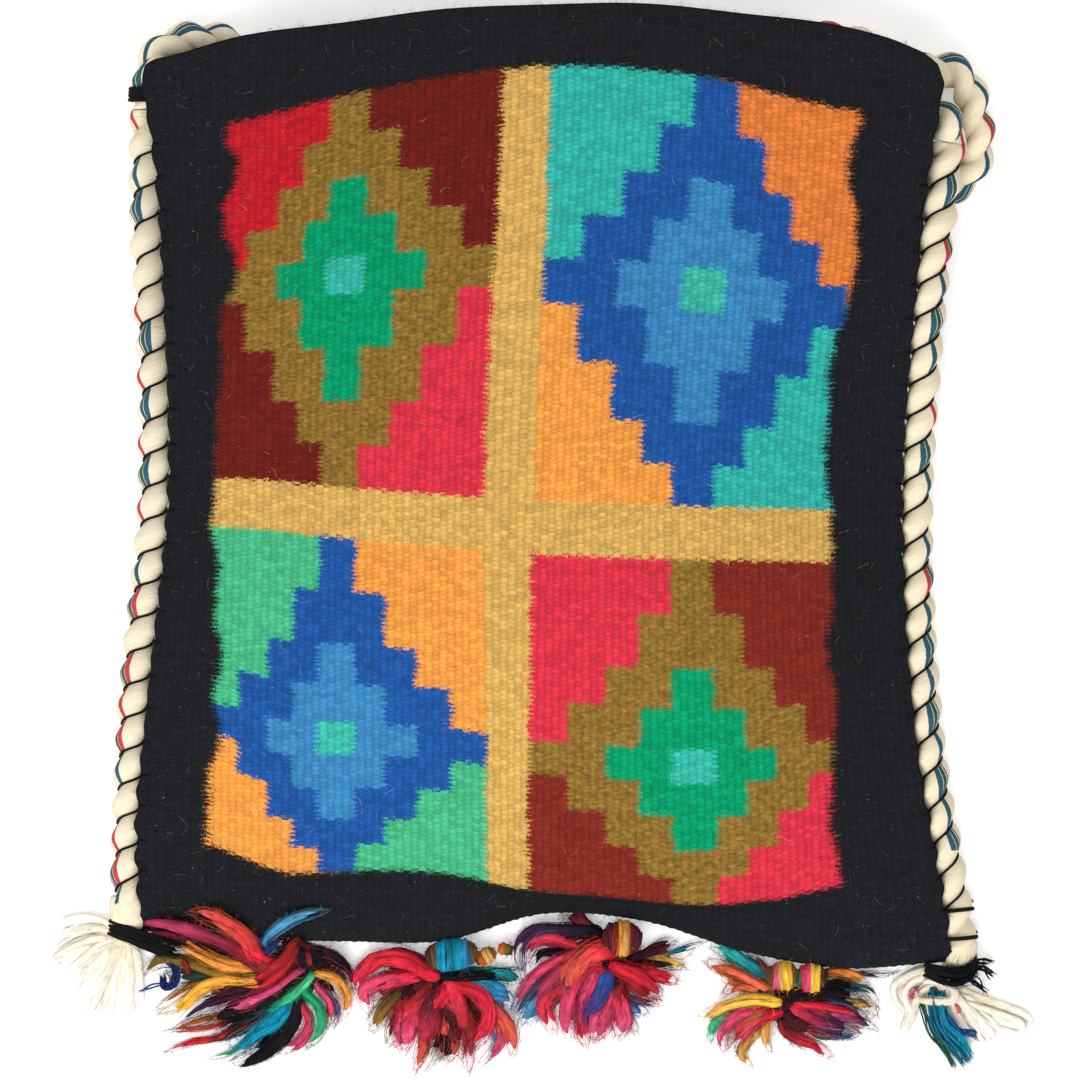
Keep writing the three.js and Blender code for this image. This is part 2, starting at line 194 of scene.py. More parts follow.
def beadHeight(tree, aside, above):  # a lying bead, leaning a little with the twist of its yarn
    lean = calc(tree, "MULTIPLY_ADD", aside, weaving["lean"], above)
    flat = calc(tree, "POWER", calc(tree, "ABSOLUTE", calc(tree, "DIVIDE", aside, weaving["beadWidth"])), 2.0)
    tall = calc(tree, "POWER", calc(tree, "ABSOLUTE", calc(tree, "DIVIDE", lean, weaving["beadHeight"])), 2.0)
    return calc(tree, "SUBTRACT", 1.0, calc(tree, "ADD", flat, tall))


def weaveGroup():  # round weft beads, those of each second column half a bead higher
    tree, source, result = newGroup(
        "weftBeads",
        [("Weave", "NodeSocketVector")],
        [("Height", "NodeSocketFloat"), ("Tint", "NodeSocketFloat"), ("Row", "NodeSocketFloat"),
         ("Warp", "NodeSocketFloat")])
    sway = addNode(tree, "ShaderNodeTexNoise")  # hand weaving: no row or column is quite straight
    feed(tree, sway.inputs["Vector"], source.outputs["Weave"])
    sway.inputs["Scale"].default_value = weaving["swayScale"]
    centred = addNode(tree, "ShaderNodeVectorMath", operation="SUBTRACT")
    feed(tree, centred.inputs[0], sway.outputs["Color"])
    centred.inputs[1].default_value = (0.5, 0.5, 0.5)
    drift = addNode(tree, "ShaderNodeVectorMath", operation="MULTIPLY_ADD")
    feed(tree, drift.inputs[0], centred.outputs[0])
    drift.inputs[1].default_value = weaving["sway"]
    feed(tree, drift.inputs[2], source.outputs["Weave"])
    parts = addNode(tree, "ShaderNodeSeparateXYZ")
    feed(tree, parts.inputs[0], drift.outputs[0])
    column = calc(tree, "FLOOR", parts.outputs["X"])
    odd = calc(tree, "FLOORED_MODULO", column, 2.0)
    shifted = calc(tree, "MULTIPLY_ADD", odd, 0.5, parts.outputs["Y"])
    aside = calc(tree, "SUBTRACT", calc(tree, "FRACT", parts.outputs["X"]), 0.5)
    above = calc(tree, "SUBTRACT", calc(tree, "FRACT", shifted), 0.5)
    nextAside = calc(tree, "SUBTRACT", aside, calc(tree, "SIGN", aside))
    nextAbove = calc(tree, "MULTIPLY_ADD", calc(tree, "SIGN", above), -0.5, above)
    own = beadHeight(tree, aside, above)
    other = beadHeight(tree, nextAside, nextAbove)
    isOther = calc(tree, "GREATER_THAN", other, own)
    feed(tree, result.inputs["Height"], calc(tree, "MAXIMUM", calc(tree, "MAXIMUM", own, other), 0.0))
    cell = addNode(tree, "ShaderNodeCombineXYZ")
    middle = calc(tree, "SUBTRACT", parts.outputs["Y"], mixValue(tree, isOther, above, nextAbove))
    feed(tree, cell.inputs["X"], calc(tree, "MULTIPLY_ADD", calc(tree, "SIGN", aside), isOther, column))
    feed(tree, cell.inputs["Y"], calc(tree, "FLOOR", calc(tree, "MULTIPLY", middle, 2.0)))
    random = addNode(tree, "ShaderNodeTexWhiteNoise", noise_dimensions="2D")
    feed(tree, random.inputs["Vector"], cell.outputs[0])
    feed(tree, result.inputs["Tint"], random.outputs["Value"])
    fuzz = addNode(tree, "ShaderNodeTexNoise")  # fibres carry each colour a little way past its edge
    feed(tree, fuzz.inputs["Vector"], source.outputs["Weave"])
    fuzz.inputs["Scale"].default_value = weaving["fuzzScale"]
    fuzz.inputs["Detail"].default_value = 3.0
    blown = addNode(tree, "ShaderNodeSeparateXYZ")
    feed(tree, blown.inputs[0], fuzz.outputs["Color"])
    blownUp = calc(tree, "SUBTRACT", blown.outputs["Y"], 0.5)
    feed(tree, result.inputs["Row"], calc(tree, "MULTIPLY_ADD", blownUp, weaving["fuzzUp"], middle))
    teeth = spread(tree, calc(tree, "PINGPONG", parts.outputs["Y"], 0.5), *weaving["teeth"])
    uneven = spread(tree, noise(tree, source.outputs["Weave"], weaving["unevenScale"]), *weaving["uneven"])
    strayed = calc(tree, "MULTIPLY", calc(tree, "SUBTRACT", blown.outputs["X"], 0.5), weaving["fuzzAside"])
    offset = calc(tree, "ADD", calc(tree, "ADD", teeth, uneven), strayed)
    feed(tree, result.inputs["Warp"], calc(tree, "ADD", parts.outputs["X"], offset))
    return tree


woolFibre = fibreGroup()
weftBeads = weaveGroup()


def useGroup(tree, group, **values):
    node = addNode(tree, "ShaderNodeGroup", node_tree=group)
    for key, value in values.items():
        feed(tree, node.inputs[key], value)
    return node.outputs


def attribute(tree, name):
    return addNode(tree, "ShaderNodeAttribute", attribute_name=name).outputs


def newMaterial(name):
    material = bpy.data.materials.new(name)
    material.use_nodes = True
    return material, material.node_tree


woolFinish = {"Roughness": 0.93, "Specular IOR Level": 0.12, "Sheen Roughness": 0.55}


def finishWool(tree, colour, height, bumpDepth, sheen):  # matt wool on the material's own shader
    surface = tree.nodes["Principled BSDF"]
    for key, value in woolFinish.items():
        surface.inputs[key].default_value = value
    surface.inputs["Sheen Weight"].default_value = sheen
    feed(tree, surface.inputs["Sheen Tint"], colour)
    feed(tree, surface.inputs["Base Color"], colour)
    bump = addNode(tree, "ShaderNodeBump")
    bump.inputs["Distance"].default_value = bumpDepth
    feed(tree, bump.inputs["Height"], height)
    tree.links.new(bump.outputs["Normal"], surface.inputs["Normal"])


# The design in warp columns and weft rows, counted from the left seam and from the fold;
# its steps were woven unevenly, so each quarter has the shares at which its colours change
design = {
    "warps": [0, 8, 45, 51, 92, 103],
    "rows": [0, 16, 88, 99, 187, 202],
    "narrowStep": 20.0, "wideStep": 28.0, "diamondSteps": 4,
    "leftSteps": (0.217, 0.398, 0.532, 0.753), "rightSteps": (0.248, 0.46, 0.601, 0.798),
    "upperLeftSteps": (0.22, 0.496, 0.59, 0.79), "upperRightSteps": (0.194, 0.455, 0.559, 0.764),
    "lowerSteps": (0.316, 0.55, 0.648, 0.844),
    "leftLaps": [(0, 0.2), (0.064, 0.3), (0.098, 0.2), (0.14, 1.8), (0.168, 1.4), (0.202, 0.8), (0.255, 1.9),
                 (0.3, 0.8), (0.334, 0.6), (0.369, 1.2), (0.41, -0.2), (0.48, 0.2), (0.59, 0.2), (0.646, 0.9),
                 (0.7, 0.4), (0.73, 0.6), (0.757, 2), (0.785, 2.8), (0.813, 2.2), (0.84, 1.1), (0.882, 0.6),
                 (0.917, 2.2), (0.945, 2.7), (0.972, 1)],
    "rightLaps": [(0, 0.3), (0.05, 0.9), (0.084, 1.8), (0.11, 1.4), (0.135, 0.8), (0.161, 1), (0.2, 0.3),
                  (0.252, 0), (0.29, 0.6), (0.316, 0.9), (0.342, 0), (0.394, -0.5), (0.484, -0.2),
                  (0.523, 0.7), (0.574, 1.1), (0.613, 0.9), (0.665, 1.5), (0.703, 1.1), (0.742, -0.2),
                  (0.806, -1), (0.858, -0.3), (0.91, 1.2), (0.935, 1.6), (0.961, 1.1), (0.987, 0.3)],
    "lapRange": (-1.0, 4.0),
    "frayScale": 2.3, "frayFrom": 0.42, "edgeFuzz": 2.0, "edgeFade": 0.9,
    "mottleScale": 1.2, "mottle": (-0.8, 1.8), "blackScale": 3.6, "blackGrain": (-0.3, 3.1),
    "speckScale": 3.2, "speckFrom": 0.775, "speckTint": 0.6, "speckShare": 0.6,
    "pickSize": (0.09, 0.8, 1.0),
    "paintedBeadShade": (0.79, 1.09), "beadTint": (0.85, 1.15), "streak": (0.9, 1.1), "fibreTone": (0.45, 1.55),
    "fibreAlong": 2.2, "fibreAcross": 4.8, "fibreRelief": 0.9, "bumpDepth": 0.26 * mm, "sheen": 0.03,
}


def ramp(tree, value, places, levels):
    node = addNode(tree, "ShaderNodeValToRGB")
    stops = node.color_ramp.elements
    first, last = stops[0], stops[1]
    first.position, last.position = places[0], places[-1]
    first.color, last.color = (levels[0],) * 3 + (1,), (levels[-1],) * 3 + (1,)
    for place, level in zip(places[1:-1], levels[1:-1]):
        stops.new(place).color = (level, level, level, 1)
    feed(tree, node.inputs["Fac"], value)
    return node.outputs["Color"]


def stepRamp(tree, value, woven, even):  # the woven steps made even, so that one rule draws each diamond
    return ramp(tree, value, [0.0, *woven, 1.0], [0.0, *even, 1.0])


def lapRamp(tree, value, laps):  # how far the black border laps over the field, in warps
    low, high = design["lapRange"]
    places, warps = zip(*laps)
    return spread(tree, ramp(tree, value, places, [(warp - low) / (high - low) for warp in warps]), low, high)


# Which quarter of the field a place is in, where in that quarter, and how many steps from its middle
def diamondPlace(tree, warp, row):
    leftEdge, bandLeft, bandRight, rightEdge = design["warps"][1:5]
    lowEdge, bandLow, bandHigh, topEdge = design["rows"][1:5]
    steps = design["diamondSteps"]
    reach = design["narrowStep"] + steps * design["wideStep"]
    inner, outer = design["narrowStep"], design["narrowStep"] + steps / 2 * design["wideStep"]
    evenWarps = [(1 + place / reach) / 2 for place in (-outer, -inner, inner, outer)]
    evenRows = [place / (2 * steps + 1) for place in (steps / 2, steps, steps + 1, 1.5 * steps + 1)]
    isRight = calc(tree, "GREATER_THAN", warp, (bandLeft + bandRight) / 2)
    isUpper = calc(tree, "GREATER_THAN", row, (bandLow + bandHigh) / 2)
    leftShare = shareOf(tree, warp, leftEdge, bandLeft)
    rightShare = shareOf(tree, warp, bandRight, rightEdge)
    upperShare = shareOf(tree, row, bandHigh, topEdge)
    lowerShare = shareOf(tree, row, bandLow, lowEdge)
    warpShare = mixColour(tree, isRight, stepRamp(tree, leftShare, design["leftSteps"], evenWarps),
                          stepRamp(tree, rightShare, design["rightSteps"], evenWarps))
    upper = mixColour(tree, isRight, stepRamp(tree, upperShare, design["upperLeftSteps"], evenRows),
                      stepRamp(tree, upperShare, design["upperRightSteps"], evenRows))
    lower = stepRamp(tree, lowerShare, design["lowerSteps"], evenRows)
    across = calc(tree, "MULTIPLY_ADD", warpShare, 2.0, -1.0)
    upwards = calc(tree, "MULTIPLY_ADD", mixColour(tree, isUpper, lower, upper), 2.0, -1.0)
    up = calc(tree, "MULTIPLY", upwards, spread(tree, isUpper, -1.0, 1.0))
    sideways = calc(tree, "MULTIPLY_ADD", calc(tree, "ABSOLUTE", across), reach / design["wideStep"],
                    -design["narrowStep"] / design["wideStep"])
    column = calc(tree, "MAXIMUM", calc(tree, "CEIL", sideways), 0.0)
    level = calc(tree, "FLOOR", calc(tree, "MULTIPLY_ADD", calc(tree, "ABSOLUTE", up), steps + 0.5, 0.5))
    return isRight, isUpper, across, up, calc(tree, "ADD", column, level)


def fieldColour(tree, weave, warp, row):
    isRight, isUpper, across, up, step = diamondPlace(tree, warp, row)
    steps = design["diamondSteps"]
    isRed = calc(tree, "ABSOLUTE", calc(tree, "SUBTRACT", isRight, isUpper))
    mottle = spread(tree, noise(tree, weave, design["mottleScale"], 3.0), *design["mottle"])
    mottle = calc(tree, "MINIMUM", calc(tree, "MAXIMUM", mottle, 0.0), 1.0)
    olive = mixColour(tree, mottle, wool["khaki"], wool["olive"])
    gold = mixColour(tree, mottle, wool["gold"], wool["straw"])
    cool = mixColour(tree, isRight, wool["leaf"], wool["teal"])
    atTop = calc(tree, "MULTIPLY", isUpper, calc(tree, "GREATER_THAN", up, 0.0))
    scarlet = mixColour(tree, calc(tree, "SUBTRACT", atTop, isRight), wool["crimson"], wool["cherry"])
    first = mixColour(tree, isRed, cool, scarlet)
    warm = mixColour(tree, calc(tree, "MULTIPLY", atTop, isRight), wool["orange"], wool["amber"])
    second = mixColour(tree, isRed, warm, mixColour(tree, isRight, wool["oxblood"], wool["maroon"]))
    outside = mixColour(tree, isRed, wool["royal"], olive)
    inside = mixColour(tree, isRed, wool["steel"], wool["green"])
    middle = mixColour(tree, isRed, wool["mint"], wool["aqua"])
    sameSide = calc(tree, "GREATER_THAN", calc(tree, "MULTIPLY", across, up), 0.0)
    colour = mixColour(tree, sameSide, first, second)
    colour = mixColour(tree, calc(tree, "LESS_THAN", step, steps + 0.5), colour, outside)
    colour = mixColour(tree, calc(tree, "LESS_THAN", step, steps / 2 + 0.5), colour, inside)
    colour = mixColour(tree, calc(tree, "LESS_THAN", step, 0.5), colour, middle)
    onBand = calc(tree, "MAXIMUM", within(tree, warp, *design["warps"][2:4]),
                  within(tree, row, *design["rows"][2:4]))
    return mixColour(tree, onBand, colour, gold)


def fieldShape(tree, weave, warp, row):  # 1 in the field and 0 on the black border, frayed where they meet
    leftEdge, rightEdge = design["warps"][1], design["warps"][4]
    lowEdge, topEdge = design["rows"][1], design["rows"][4]
    fieldShare = shareOf(tree, row, lowEdge, topEdge)
    frayed = calc(tree, "SUBTRACT", noise(tree, weave, design["frayScale"]), design["frayFrom"])
    frayed = calc(tree, "MAXIMUM", calc(tree, "MULTIPLY", frayed, design["edgeFuzz"]), 0.0)
    leftLap = calc(tree, "ADD", lapRamp(tree, fieldShare, design["leftLaps"]), frayed)
    rightLap = calc(tree, "ADD", lapRamp(tree, fieldShare, design["rightLaps"]), frayed)
    fade = design["edgeFade"]
    fromLeft = past(tree, calc(tree, "SUBTRACT", warp, leftLap), leftEdge, fade)
    fromRight = past(tree, calc(tree, "ADD", warp, rightLap), rightEdge, -fade)
    frayedRow = calc(tree, "MULTIPLY", frayed, 0.5)
    overLow = past(tree, calc(tree, "SUBTRACT", row, frayedRow), lowEdge, fade)
    underTop = past(tree, calc(tree, "ADD", row, frayedRow), topEdge, -fade)
    return times(tree, fromLeft, fromRight, overLow, underTop)


def clothMaterial():
    material, tree = newMaterial("woven_wool")
    weave = attribute(tree, "weave")["Vector"]
    bead = useGroup(tree, weftBeads, Weave=weave)
    warp, row = bead["Warp"], bead["Row"]
    fibre = useGroup(tree, woolFibre, Vector=weave, Along=design["fibreAlong"], Across=design["fibreAcross"])
    grain = spread(tree, noise(tree, weave, design["blackScale"], 3.0), *design["blackGrain"])
    border = scaled(tree, wool["black"][:3], grain)
    inField = fieldShape(tree, weave, warp, row)
    colour = mixColour(tree, inField, border, fieldColour(tree, weave, warp, row))
    speck = calc(tree, "GREATER_THAN", noise(tree, weave, design["speckScale"], 1.0), design["speckFrom"])
    speckled = calc(tree, "GREATER_THAN", bead["Tint"], design["speckTint"])
    speck = times(tree, speck, speckled, design["speckShare"])
    colour = mixColour(tree, speck, colour, wool["cream"])
    picks = addNode(tree, "ShaderNodeVectorMath", operation="MULTIPLY")
    feed(tree, picks.inputs[0], weave)
    picks.inputs[1].default_value = design["pickSize"]
    # Tone of the wool: a random tint per bead, streaks of picks and fibres, and from each bead's height
    # painted shade between the beads with a painted highlight on their crowns
    tone = times(tree, spread(tree, bead["Tint"], *design["beadTint"]),
                 spread(tree, noise(tree, picks.outputs[0], 1.0), *design["streak"]),
                 spread(tree, bead["Height"], *design["paintedBeadShade"]),
                 spread(tree, fibre["Streak"], *design["fibreTone"]))
    height = calc(tree, "MULTIPLY_ADD", fibre["Height"], design["fibreRelief"], bead["Height"])
    finishWool(tree, scaled(tree, colour, tone), height, design["bumpDepth"], design["sheen"])
    return material


yarnPatches = {"scale": 0.22, "strength": 0.7}  # stretches of a yarn that are lighter or darker


def yarnMaterial(name, along, across, contrast, sheen, bumpDepth):  # loose yarn, coloured strand by strand
    material, tree = newMaterial(name)
    fibre = useGroup(tree, woolFibre, Vector=attribute(tree, "fibre")["Vector"], Along=along, Across=across)
    patches = noise(tree, attribute(tree, "fibre")["Vector"], yarnPatches["scale"], 1.0)
    patchy = yarnPatches["strength"] * contrast
    tone = times(tree, spread(tree, fibre["Streak"], 1 - contrast, 1 + contrast),
                 spread(tree, patches, 1 - patchy, 1 + patchy))
    colour = scaled(tree, attribute(tree, "woolColour")["Color"], tone)
    finishWool(tree, colour, fibre["Height"], bumpDepth, sheen)
    return material


# Coloured yarns lie along the outer part of the rope's round, one in the first ply and three in the second;
# each turn picks one of two colours for every yarn, and some turns are plain
ropeStripes = {
    "first": [(0.05, 0.1, "slate", "brick")],
    "second": [(0.0, 0.055, "slate", "brick"), (0.06, 0.1, "forest", "slate"),
               (0.11, 0.125, "white", "navy")],
    "from": 0.32, "shift": 0.1, "uneven": 0.025, "plainEnd": 34 * mm, "plainTurns": 0.18, "firstShare": 0.55,
    "fibreAlong": 0.3, "fibreAcross": 1.7, "streakTone": (0.72, 1.24), "paintedGrooveShade": (0.9, 1.05),
    "bumpDepth": 0.12 * mm, "sheen": 0.15,
}


def ropeMaterial(name, turn, ground, lastStripe):
    material, tree = newMaterial(name)
    place = addNode(tree, "ShaderNodeSeparateXYZ")
    feed(tree, place.inputs[0], attribute(tree, "ropeTurn")["Vector"])
    angle = calc(tree, "ARCTAN2", place.outputs["Y"], place.outputs["X"])
    around = calc(tree, "DIVIDE", angle, 2 * math.pi)
    turns = calc(tree, "ADD", around, calc(tree, "DIVIDE", place.outputs["Z"], turn))
    lay = calc(tree, "COSINE", calc(tree, "MULTIPLY", turns, 2 * math.pi))
    fibre = useGroup(tree, woolFibre, Vector=attribute(tree, "fibre")["Vector"],
                     Along=ropeStripes["fibreAlong"], Across=ropeStripes["fibreAcross"])
    turnNumber = calc(tree, "FLOOR", calc(tree, "MULTIPLY_ADD", turns, 2.0, 0.5))
    random = addNode(tree, "ShaderNodeTexWhiteNoise", noise_dimensions="1D")
    feed(tree, random.inputs["W"], turnNumber)
    chance = addNode(tree, "ShaderNodeSeparateColor")
    feed(tree, chance.inputs[0], random.outputs["Color"])
    shift = calc(tree, "SUBTRACT", random.outputs["Value"], 0.5)
    start = calc(tree, "MULTIPLY_ADD", shift, ropeStripes["shift"], ropeStripes["from"])
    wander = calc(tree, "MULTIPLY_ADD", fibre["Streak"], ropeStripes["uneven"], around)
    share = calc(tree, "FRACT", calc(tree, "SUBTRACT", wander, start))
    turnChance = calc(tree, "FRACT", calc(tree, "MULTIPLY", random.outputs["Value"], 10.0))
    striped = calc(tree, "MULTIPLY", calc(tree, "LESS_THAN", place.outputs["Z"], lastStripe),
                   calc(tree, "GREATER_THAN", turnChance, ropeStripes["plainTurns"]))
    plies = {}
    for ply in ("first", "second"):
        colour = wool[ground]
        for i, (low, high, yarn, otherYarn) in enumerate(ropeStripes[ply]):
            pick = calc(tree, "GREATER_THAN", chance.outputs[i], ropeStripes["firstShare"])
            stripe = mixColour(tree, pick, wool[yarn], wool[otherYarn])
            isStripe = calc(tree, "MULTIPLY", within(tree, share, low, high), striped)
            colour = mixColour(tree, isStripe, colour, stripe)
        plies[ply] = colour
    colour = mixColour(tree, calc(tree, "GREATER_THAN", lay, 0.0), plies["first"], plies["second"])
    # Painted shade in the grooves between the plies, a little lighter on their crests
    crest = calc(tree, "POWER", calc(tree, "ABSOLUTE", lay), 0.5)
    tone = times(tree, spread(tree, fibre["Streak"], *ropeStripes["streakTone"]),
                 spread(tree, crest, *ropeStripes["paintedGrooveShade"]))
    finishWool(tree, scaled(tree, colour, tone), fibre["Height"], ropeStripes["bumpDepth"],
               ropeStripes["sheen"])
    return material


# Mesh helpers
def makePiece(name, points, faces, material, vectors, colours=None):
    mesh = bpy.data.meshes.new(name)
    mesh.from_pydata(np.asarray(points).tolist(), [], faces)
    for key, values in vectors.items():
        layer = mesh.attributes.new(key, "FLOAT_VECTOR", "POINT")
        layer.data.foreach_set("vector", np.asarray(values, np.float32).ravel())
    if colours is not None:
        layer = mesh.attributes.new("woolColour", "FLOAT_COLOR", "POINT")
        layer.data.foreach_set("color", np.asarray(colours, np.float32).ravel())
    mesh.polygons.foreach_set("use_smooth", [True] * len(mesh.polygons))
    mesh.materials.append(material)
    piece = bpy.data.objects.new(name, mesh)
    bpy.context.scene.collection.objects.link(piece)
    return piece


def settle(piece, slot, *nodes):  # rides on the bag, stands for its nodes
    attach(piece, "root")
    if nodes:
        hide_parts(*nodes)
    print("made", piece.name, len(piece.data.polygons), "faces")


def lengths(line):
    return np.concatenate([[0], np.cumsum(np.linalg.norm(np.diff(line, axis=0), axis=1))])


def readAt(at, run, rows):  # what the rows say at places along a run
    return np.stack([np.interp(at, run, rows[:, k]) for k in range(3)], axis=1)


def evenly(line, step):  # the same line with points a step apart
    run = lengths(line)
    return readAt(np.linspace(0, run[-1], max(3, int(round(run[-1] / step)) + 1)), run, line)


def roundLine(line, sideways, ups, angles, reach, flatness=1.0):  # a path that turns round a line
    across = (np.cos(angles) * reach)[:, None]
    return line + sideways * across + ups * (np.sin(angles) * reach * flatness)[:, None]


def tubeFaces(grid):  # the wall and the two ends of a tube whose rings are the grid's rows
    right = np.roll(grid, -1, axis=1)
    wall = np.stack([grid[:-1], right[:-1], right[1:], grid[1:]], axis=2).reshape(-1, 4)
    return wall.tolist() + [grid[0, ::-1].tolist(), grid[-1].tolist()]


def curveThrough(points, perSpan=14):  # a centripetal curve through given points
    p = np.asarray(points, float)
    p = np.vstack([2 * p[0] - p[1], p, 2 * p[-1] - p[-2]])
    made = []
    for i in range(1, len(p) - 2):
        d0, d1, d2 = (np.linalg.norm(p[i + k + 1] - p[i + k]) ** 0.5 for k in (-1, 0, 1))
        first = (p[i] - p[i - 1]) / d0 - (p[i + 1] - p[i - 1]) / (d0 + d1) + (p[i + 1] - p[i]) / d1
        second = (p[i + 1] - p[i]) / d1 - (p[i + 2] - p[i]) / (d1 + d2) + (p[i + 2] - p[i + 1]) / d2
        first, second = first * d1, second * d1
        w = np.linspace(0, 1, perSpan, endpoint=False)[:, None]
        made.append(p[i] + first * w + (3 * (p[i + 1] - p[i]) - 2 * first - second) * w ** 2
                    + (2 * (p[i] - p[i + 1]) + first + second) * w ** 3)
    return np.vstack([*made, p[-2:-1]])


class YarnPile:  # tubes gathered into one mesh
    def __init__(self):
        self.points, self.faces, self.fibre, self.colours = [], [], [], []
        self.used = 0

    def tube(self, line, radii, colours, sides=7, flatness=1.0):
        line = np.asarray(line, float)
        count = len(line)
        radii = np.broadcast_to(np.asarray(radii, float), (count,))
        tangents = np.gradient(line, axis=0)
        tangents /= np.linalg.norm(tangents, axis=1)[:, None] + 1e-12
        up = np.array([0, 0, 1.0]) if abs(tangents[0, 2]) < 0.9 else np.array([1.0, 0, 0])
        ups = []
        for tangent in tangents:
            up = up - tangent * (up @ tangent)
            up = up / (np.linalg.norm(up) + 1e-12)
            ups.append(up)
        ups = np.array(ups)
        sideways = np.cross(tangents, ups)
        angles = 2 * np.pi * np.arange(sides) / sides
        cosines, sines = np.cos(angles), np.sin(angles)
        ring = cosines[None, :, None] * sideways[:, None] + flatness * sines[None, :, None] * ups[:, None]
        points = line[:, None] + ring * radii[:, None, None]
        run = lengths(line) / mm + draw.uniform(0, 900)  # each tube has its own stretch of the fibre pattern
        thick = radii[:, None] / mm
        fibre = np.stack([cosines * thick, sines * thick, np.repeat(run[:, None], sides, 1)], axis=2)
        colours = np.broadcast_to(np.asarray(colours, float), (count, 4))
        self.faces += tubeFaces(self.used + np.arange(count * sides).reshape(count, sides))
        self.points.append(points.reshape(-1, 3))
        self.fibre.append(fibre.reshape(-1, 3))
        self.colours.append(np.repeat(colours, sides, axis=0))
        self.used += count * sides

    def build(self, name, material):
        return makePiece(name, np.vstack(self.points), self.faces, material,
                         {"fibre": np.vstack(self.fibre)}, np.vstack(self.colours))


# The bag's shape: its outline, and the heights of the cloth lying over its own strap
bagShape = {
    "leftSeam": [-0.136, -0.1335, -0.1265, -0.128, -0.134],
    "rightSeam": [0.1387, 0.1272, 0.1231, 0.1275, 0.1363],
    "mouth": [0.1628, 0.171, 0.1752, 0.1797, 0.1812, 0.1816, 0.1782, 0.1737, 0.1622],
    "fold": [-0.134, -0.1365, -0.1374, -0.1372, -0.128, -0.1305, -0.141, -0.1466, -0.1445],
    "thickness": 3 * mm, "foldMiddle": 6 * mm, "foldDepth": 0.055,
    "crownAtFold": 12 * mm, "crownFull": 29 * mm, "overStrap": 14.2 * mm,
    "seamLow": 8 * mm, "leftSeamRise": 8.8 * mm, "rightSeamRise": 19.5 * mm, "rightRopeRise": 13.9 * mm,
    "backMouthDrop": 2 * mm, "cornerLiftShare": 0.32,
    "crownRise": (0, 0.38), "strapEdge": (0.34, 0.49), "leftSeamLift": (0.5, 0.74),
    "rightSeamLift": (0.46, 0.8), "rightCornerLift": (0.8, 0.93), "leftRopeTuck": (0.78, 1.02),
    "mouthBulge": (0.945, 0.045, 1.7 * mm), "leftCorner": (0.021, 0.018), "rightCorner": (0.034, 0.03),
    "leftLip": [0.5, 2.6, 1, 0.6, 0.4, 0.3, 0, -0.6, 1.6],
    "rightLip": [1.8, 1.6, 1.2, 0.8, 0.4, 0.2, 0, -0.9, 0.8],
    "lipWidth": 0.05, "lipRise": 2.2 * mm, "backLipShare": 2.4,
    "lipWaves": 26.0, "lipWave": 0.55, "lipDrift": 17,
}


def along(stations, share):  # a value read from even stations along an edge
    values = np.asarray(stations, float)
    last = len(values) - 1
    place = np.clip(np.asarray(share, float), 0, 1) * last
    i = np.minimum(place.astype(int), last - 1)
    w = place - i
    p0, p1, p2, p3 = (values[np.clip(i + k, 0, last)] for k in (-1, 0, 1, 2))
    v0, v1 = (p2 - p0) / 2, (p3 - p1) / 2
    return (2 * p1 - 2 * p2 + v0 + v1) * w ** 3 + (3 * p2 - 3 * p1 - 2 * v0 - v1) * w ** 2 + v0 * w + p1


def ease(span, value):
    w = np.clip((value - span[0]) / (span[1] - span[0]), 0, 1)
    return w * w * (3 - 2 * w)


def blend(first, second, share):
    return first + (second - first) * share


def roundCorner(s, t):  # draws the square patch at a mouth corner in to a quarter of a disc
    width = np.where(s < 0.5, bagShape["leftCorner"][0], bagShape["rightCorner"][0])
    length = np.where(s < 0.5, bagShape["leftCorner"][1], bagShape["rightCorner"][1])
    across = np.maximum(0, 1 - np.minimum(s, 1 - s) / width)
    up = np.maximum(0, 1 - (1 - t) / length)
    inwards = width * across * (1 - np.sqrt(1 - up * up / 2))
    return s + np.where(s < 0.5, inwards, -inwards), t - length * up * (1 - np.sqrt(1 - across * across / 2))


def plan(s, t):
    s, t = roundCorner(s, t)
    x = blend(along(bagShape["leftSeam"], t), along(bagShape["rightSeam"], t), s)
    middle, width, bulge = bagShape["mouthBulge"]
    bulge = bulge * np.exp(-((s - middle) / width) ** 2) * np.clip(10 * t - 9, 0, 1)
    return x, blend(along(bagShape["fold"], s), along(bagShape["mouth"], s), t) + bulge


def lip(s, t):  # the cloth's edges spread a little over the ropes sewn to them: outwards, and up
    left = np.clip(1 - s / bagShape["lipWidth"], 0, 1) ** 2
    right = np.clip(1 - (1 - s) / bagShape["lipWidth"], 0, 1) ** 2
    uneven = 1 + 0.5 * np.sin(bagShape["lipDrift"] * t)  # the waves are not all of one size
    wave = bagShape["lipWave"] * np.sin(2 * np.pi * bagShape["lipWaves"] * t) * uneven
    rightLip, leftLip = along(bagShape["rightLip"], t) + wave, along(bagShape["leftLip"], t) + wave
    return (rightLip * right - leftLip * left) * mm, bagShape["lipRise"] * (left + right) * foldRound(t)


def seamHeight(s, t):
    left = bagShape["seamLow"] + bagShape["leftSeamRise"] * ease(bagShape["leftSeamLift"], t)
    lift = blend(ease(bagShape["rightSeamLift"], t), ease(bagShape["rightCornerLift"], t),
                 bagShape["cornerLiftShare"])
    return blend(left, bagShape["seamLow"] + bagShape["rightSeamRise"] * lift, s)


def foldRound(t):
    return np.sqrt(1 - (1 - np.minimum(t / bagShape["foldDepth"], 1)) ** 2)


def frontHeight(s, t):
    crown = blend(bagShape["crownAtFold"], bagShape["crownFull"], ease(bagShape["crownRise"], t))
    full = blend(crown, seamHeight(s, t) + bagShape["thickness"], np.abs(2 * s - 1) ** 4)
    return blend(bagShape["foldMiddle"], full, foldRound(t))


def backHeight(s, t):
    lying = bagShape["overStrap"] * ease(bagShape["strapEdge"], t)
    full = blend(lying, seamHeight(s, t) - bagShape["thickness"], np.abs(2 * s - 1) ** 8)
    return blend(bagShape["foldMiddle"], full, foldRound(t))


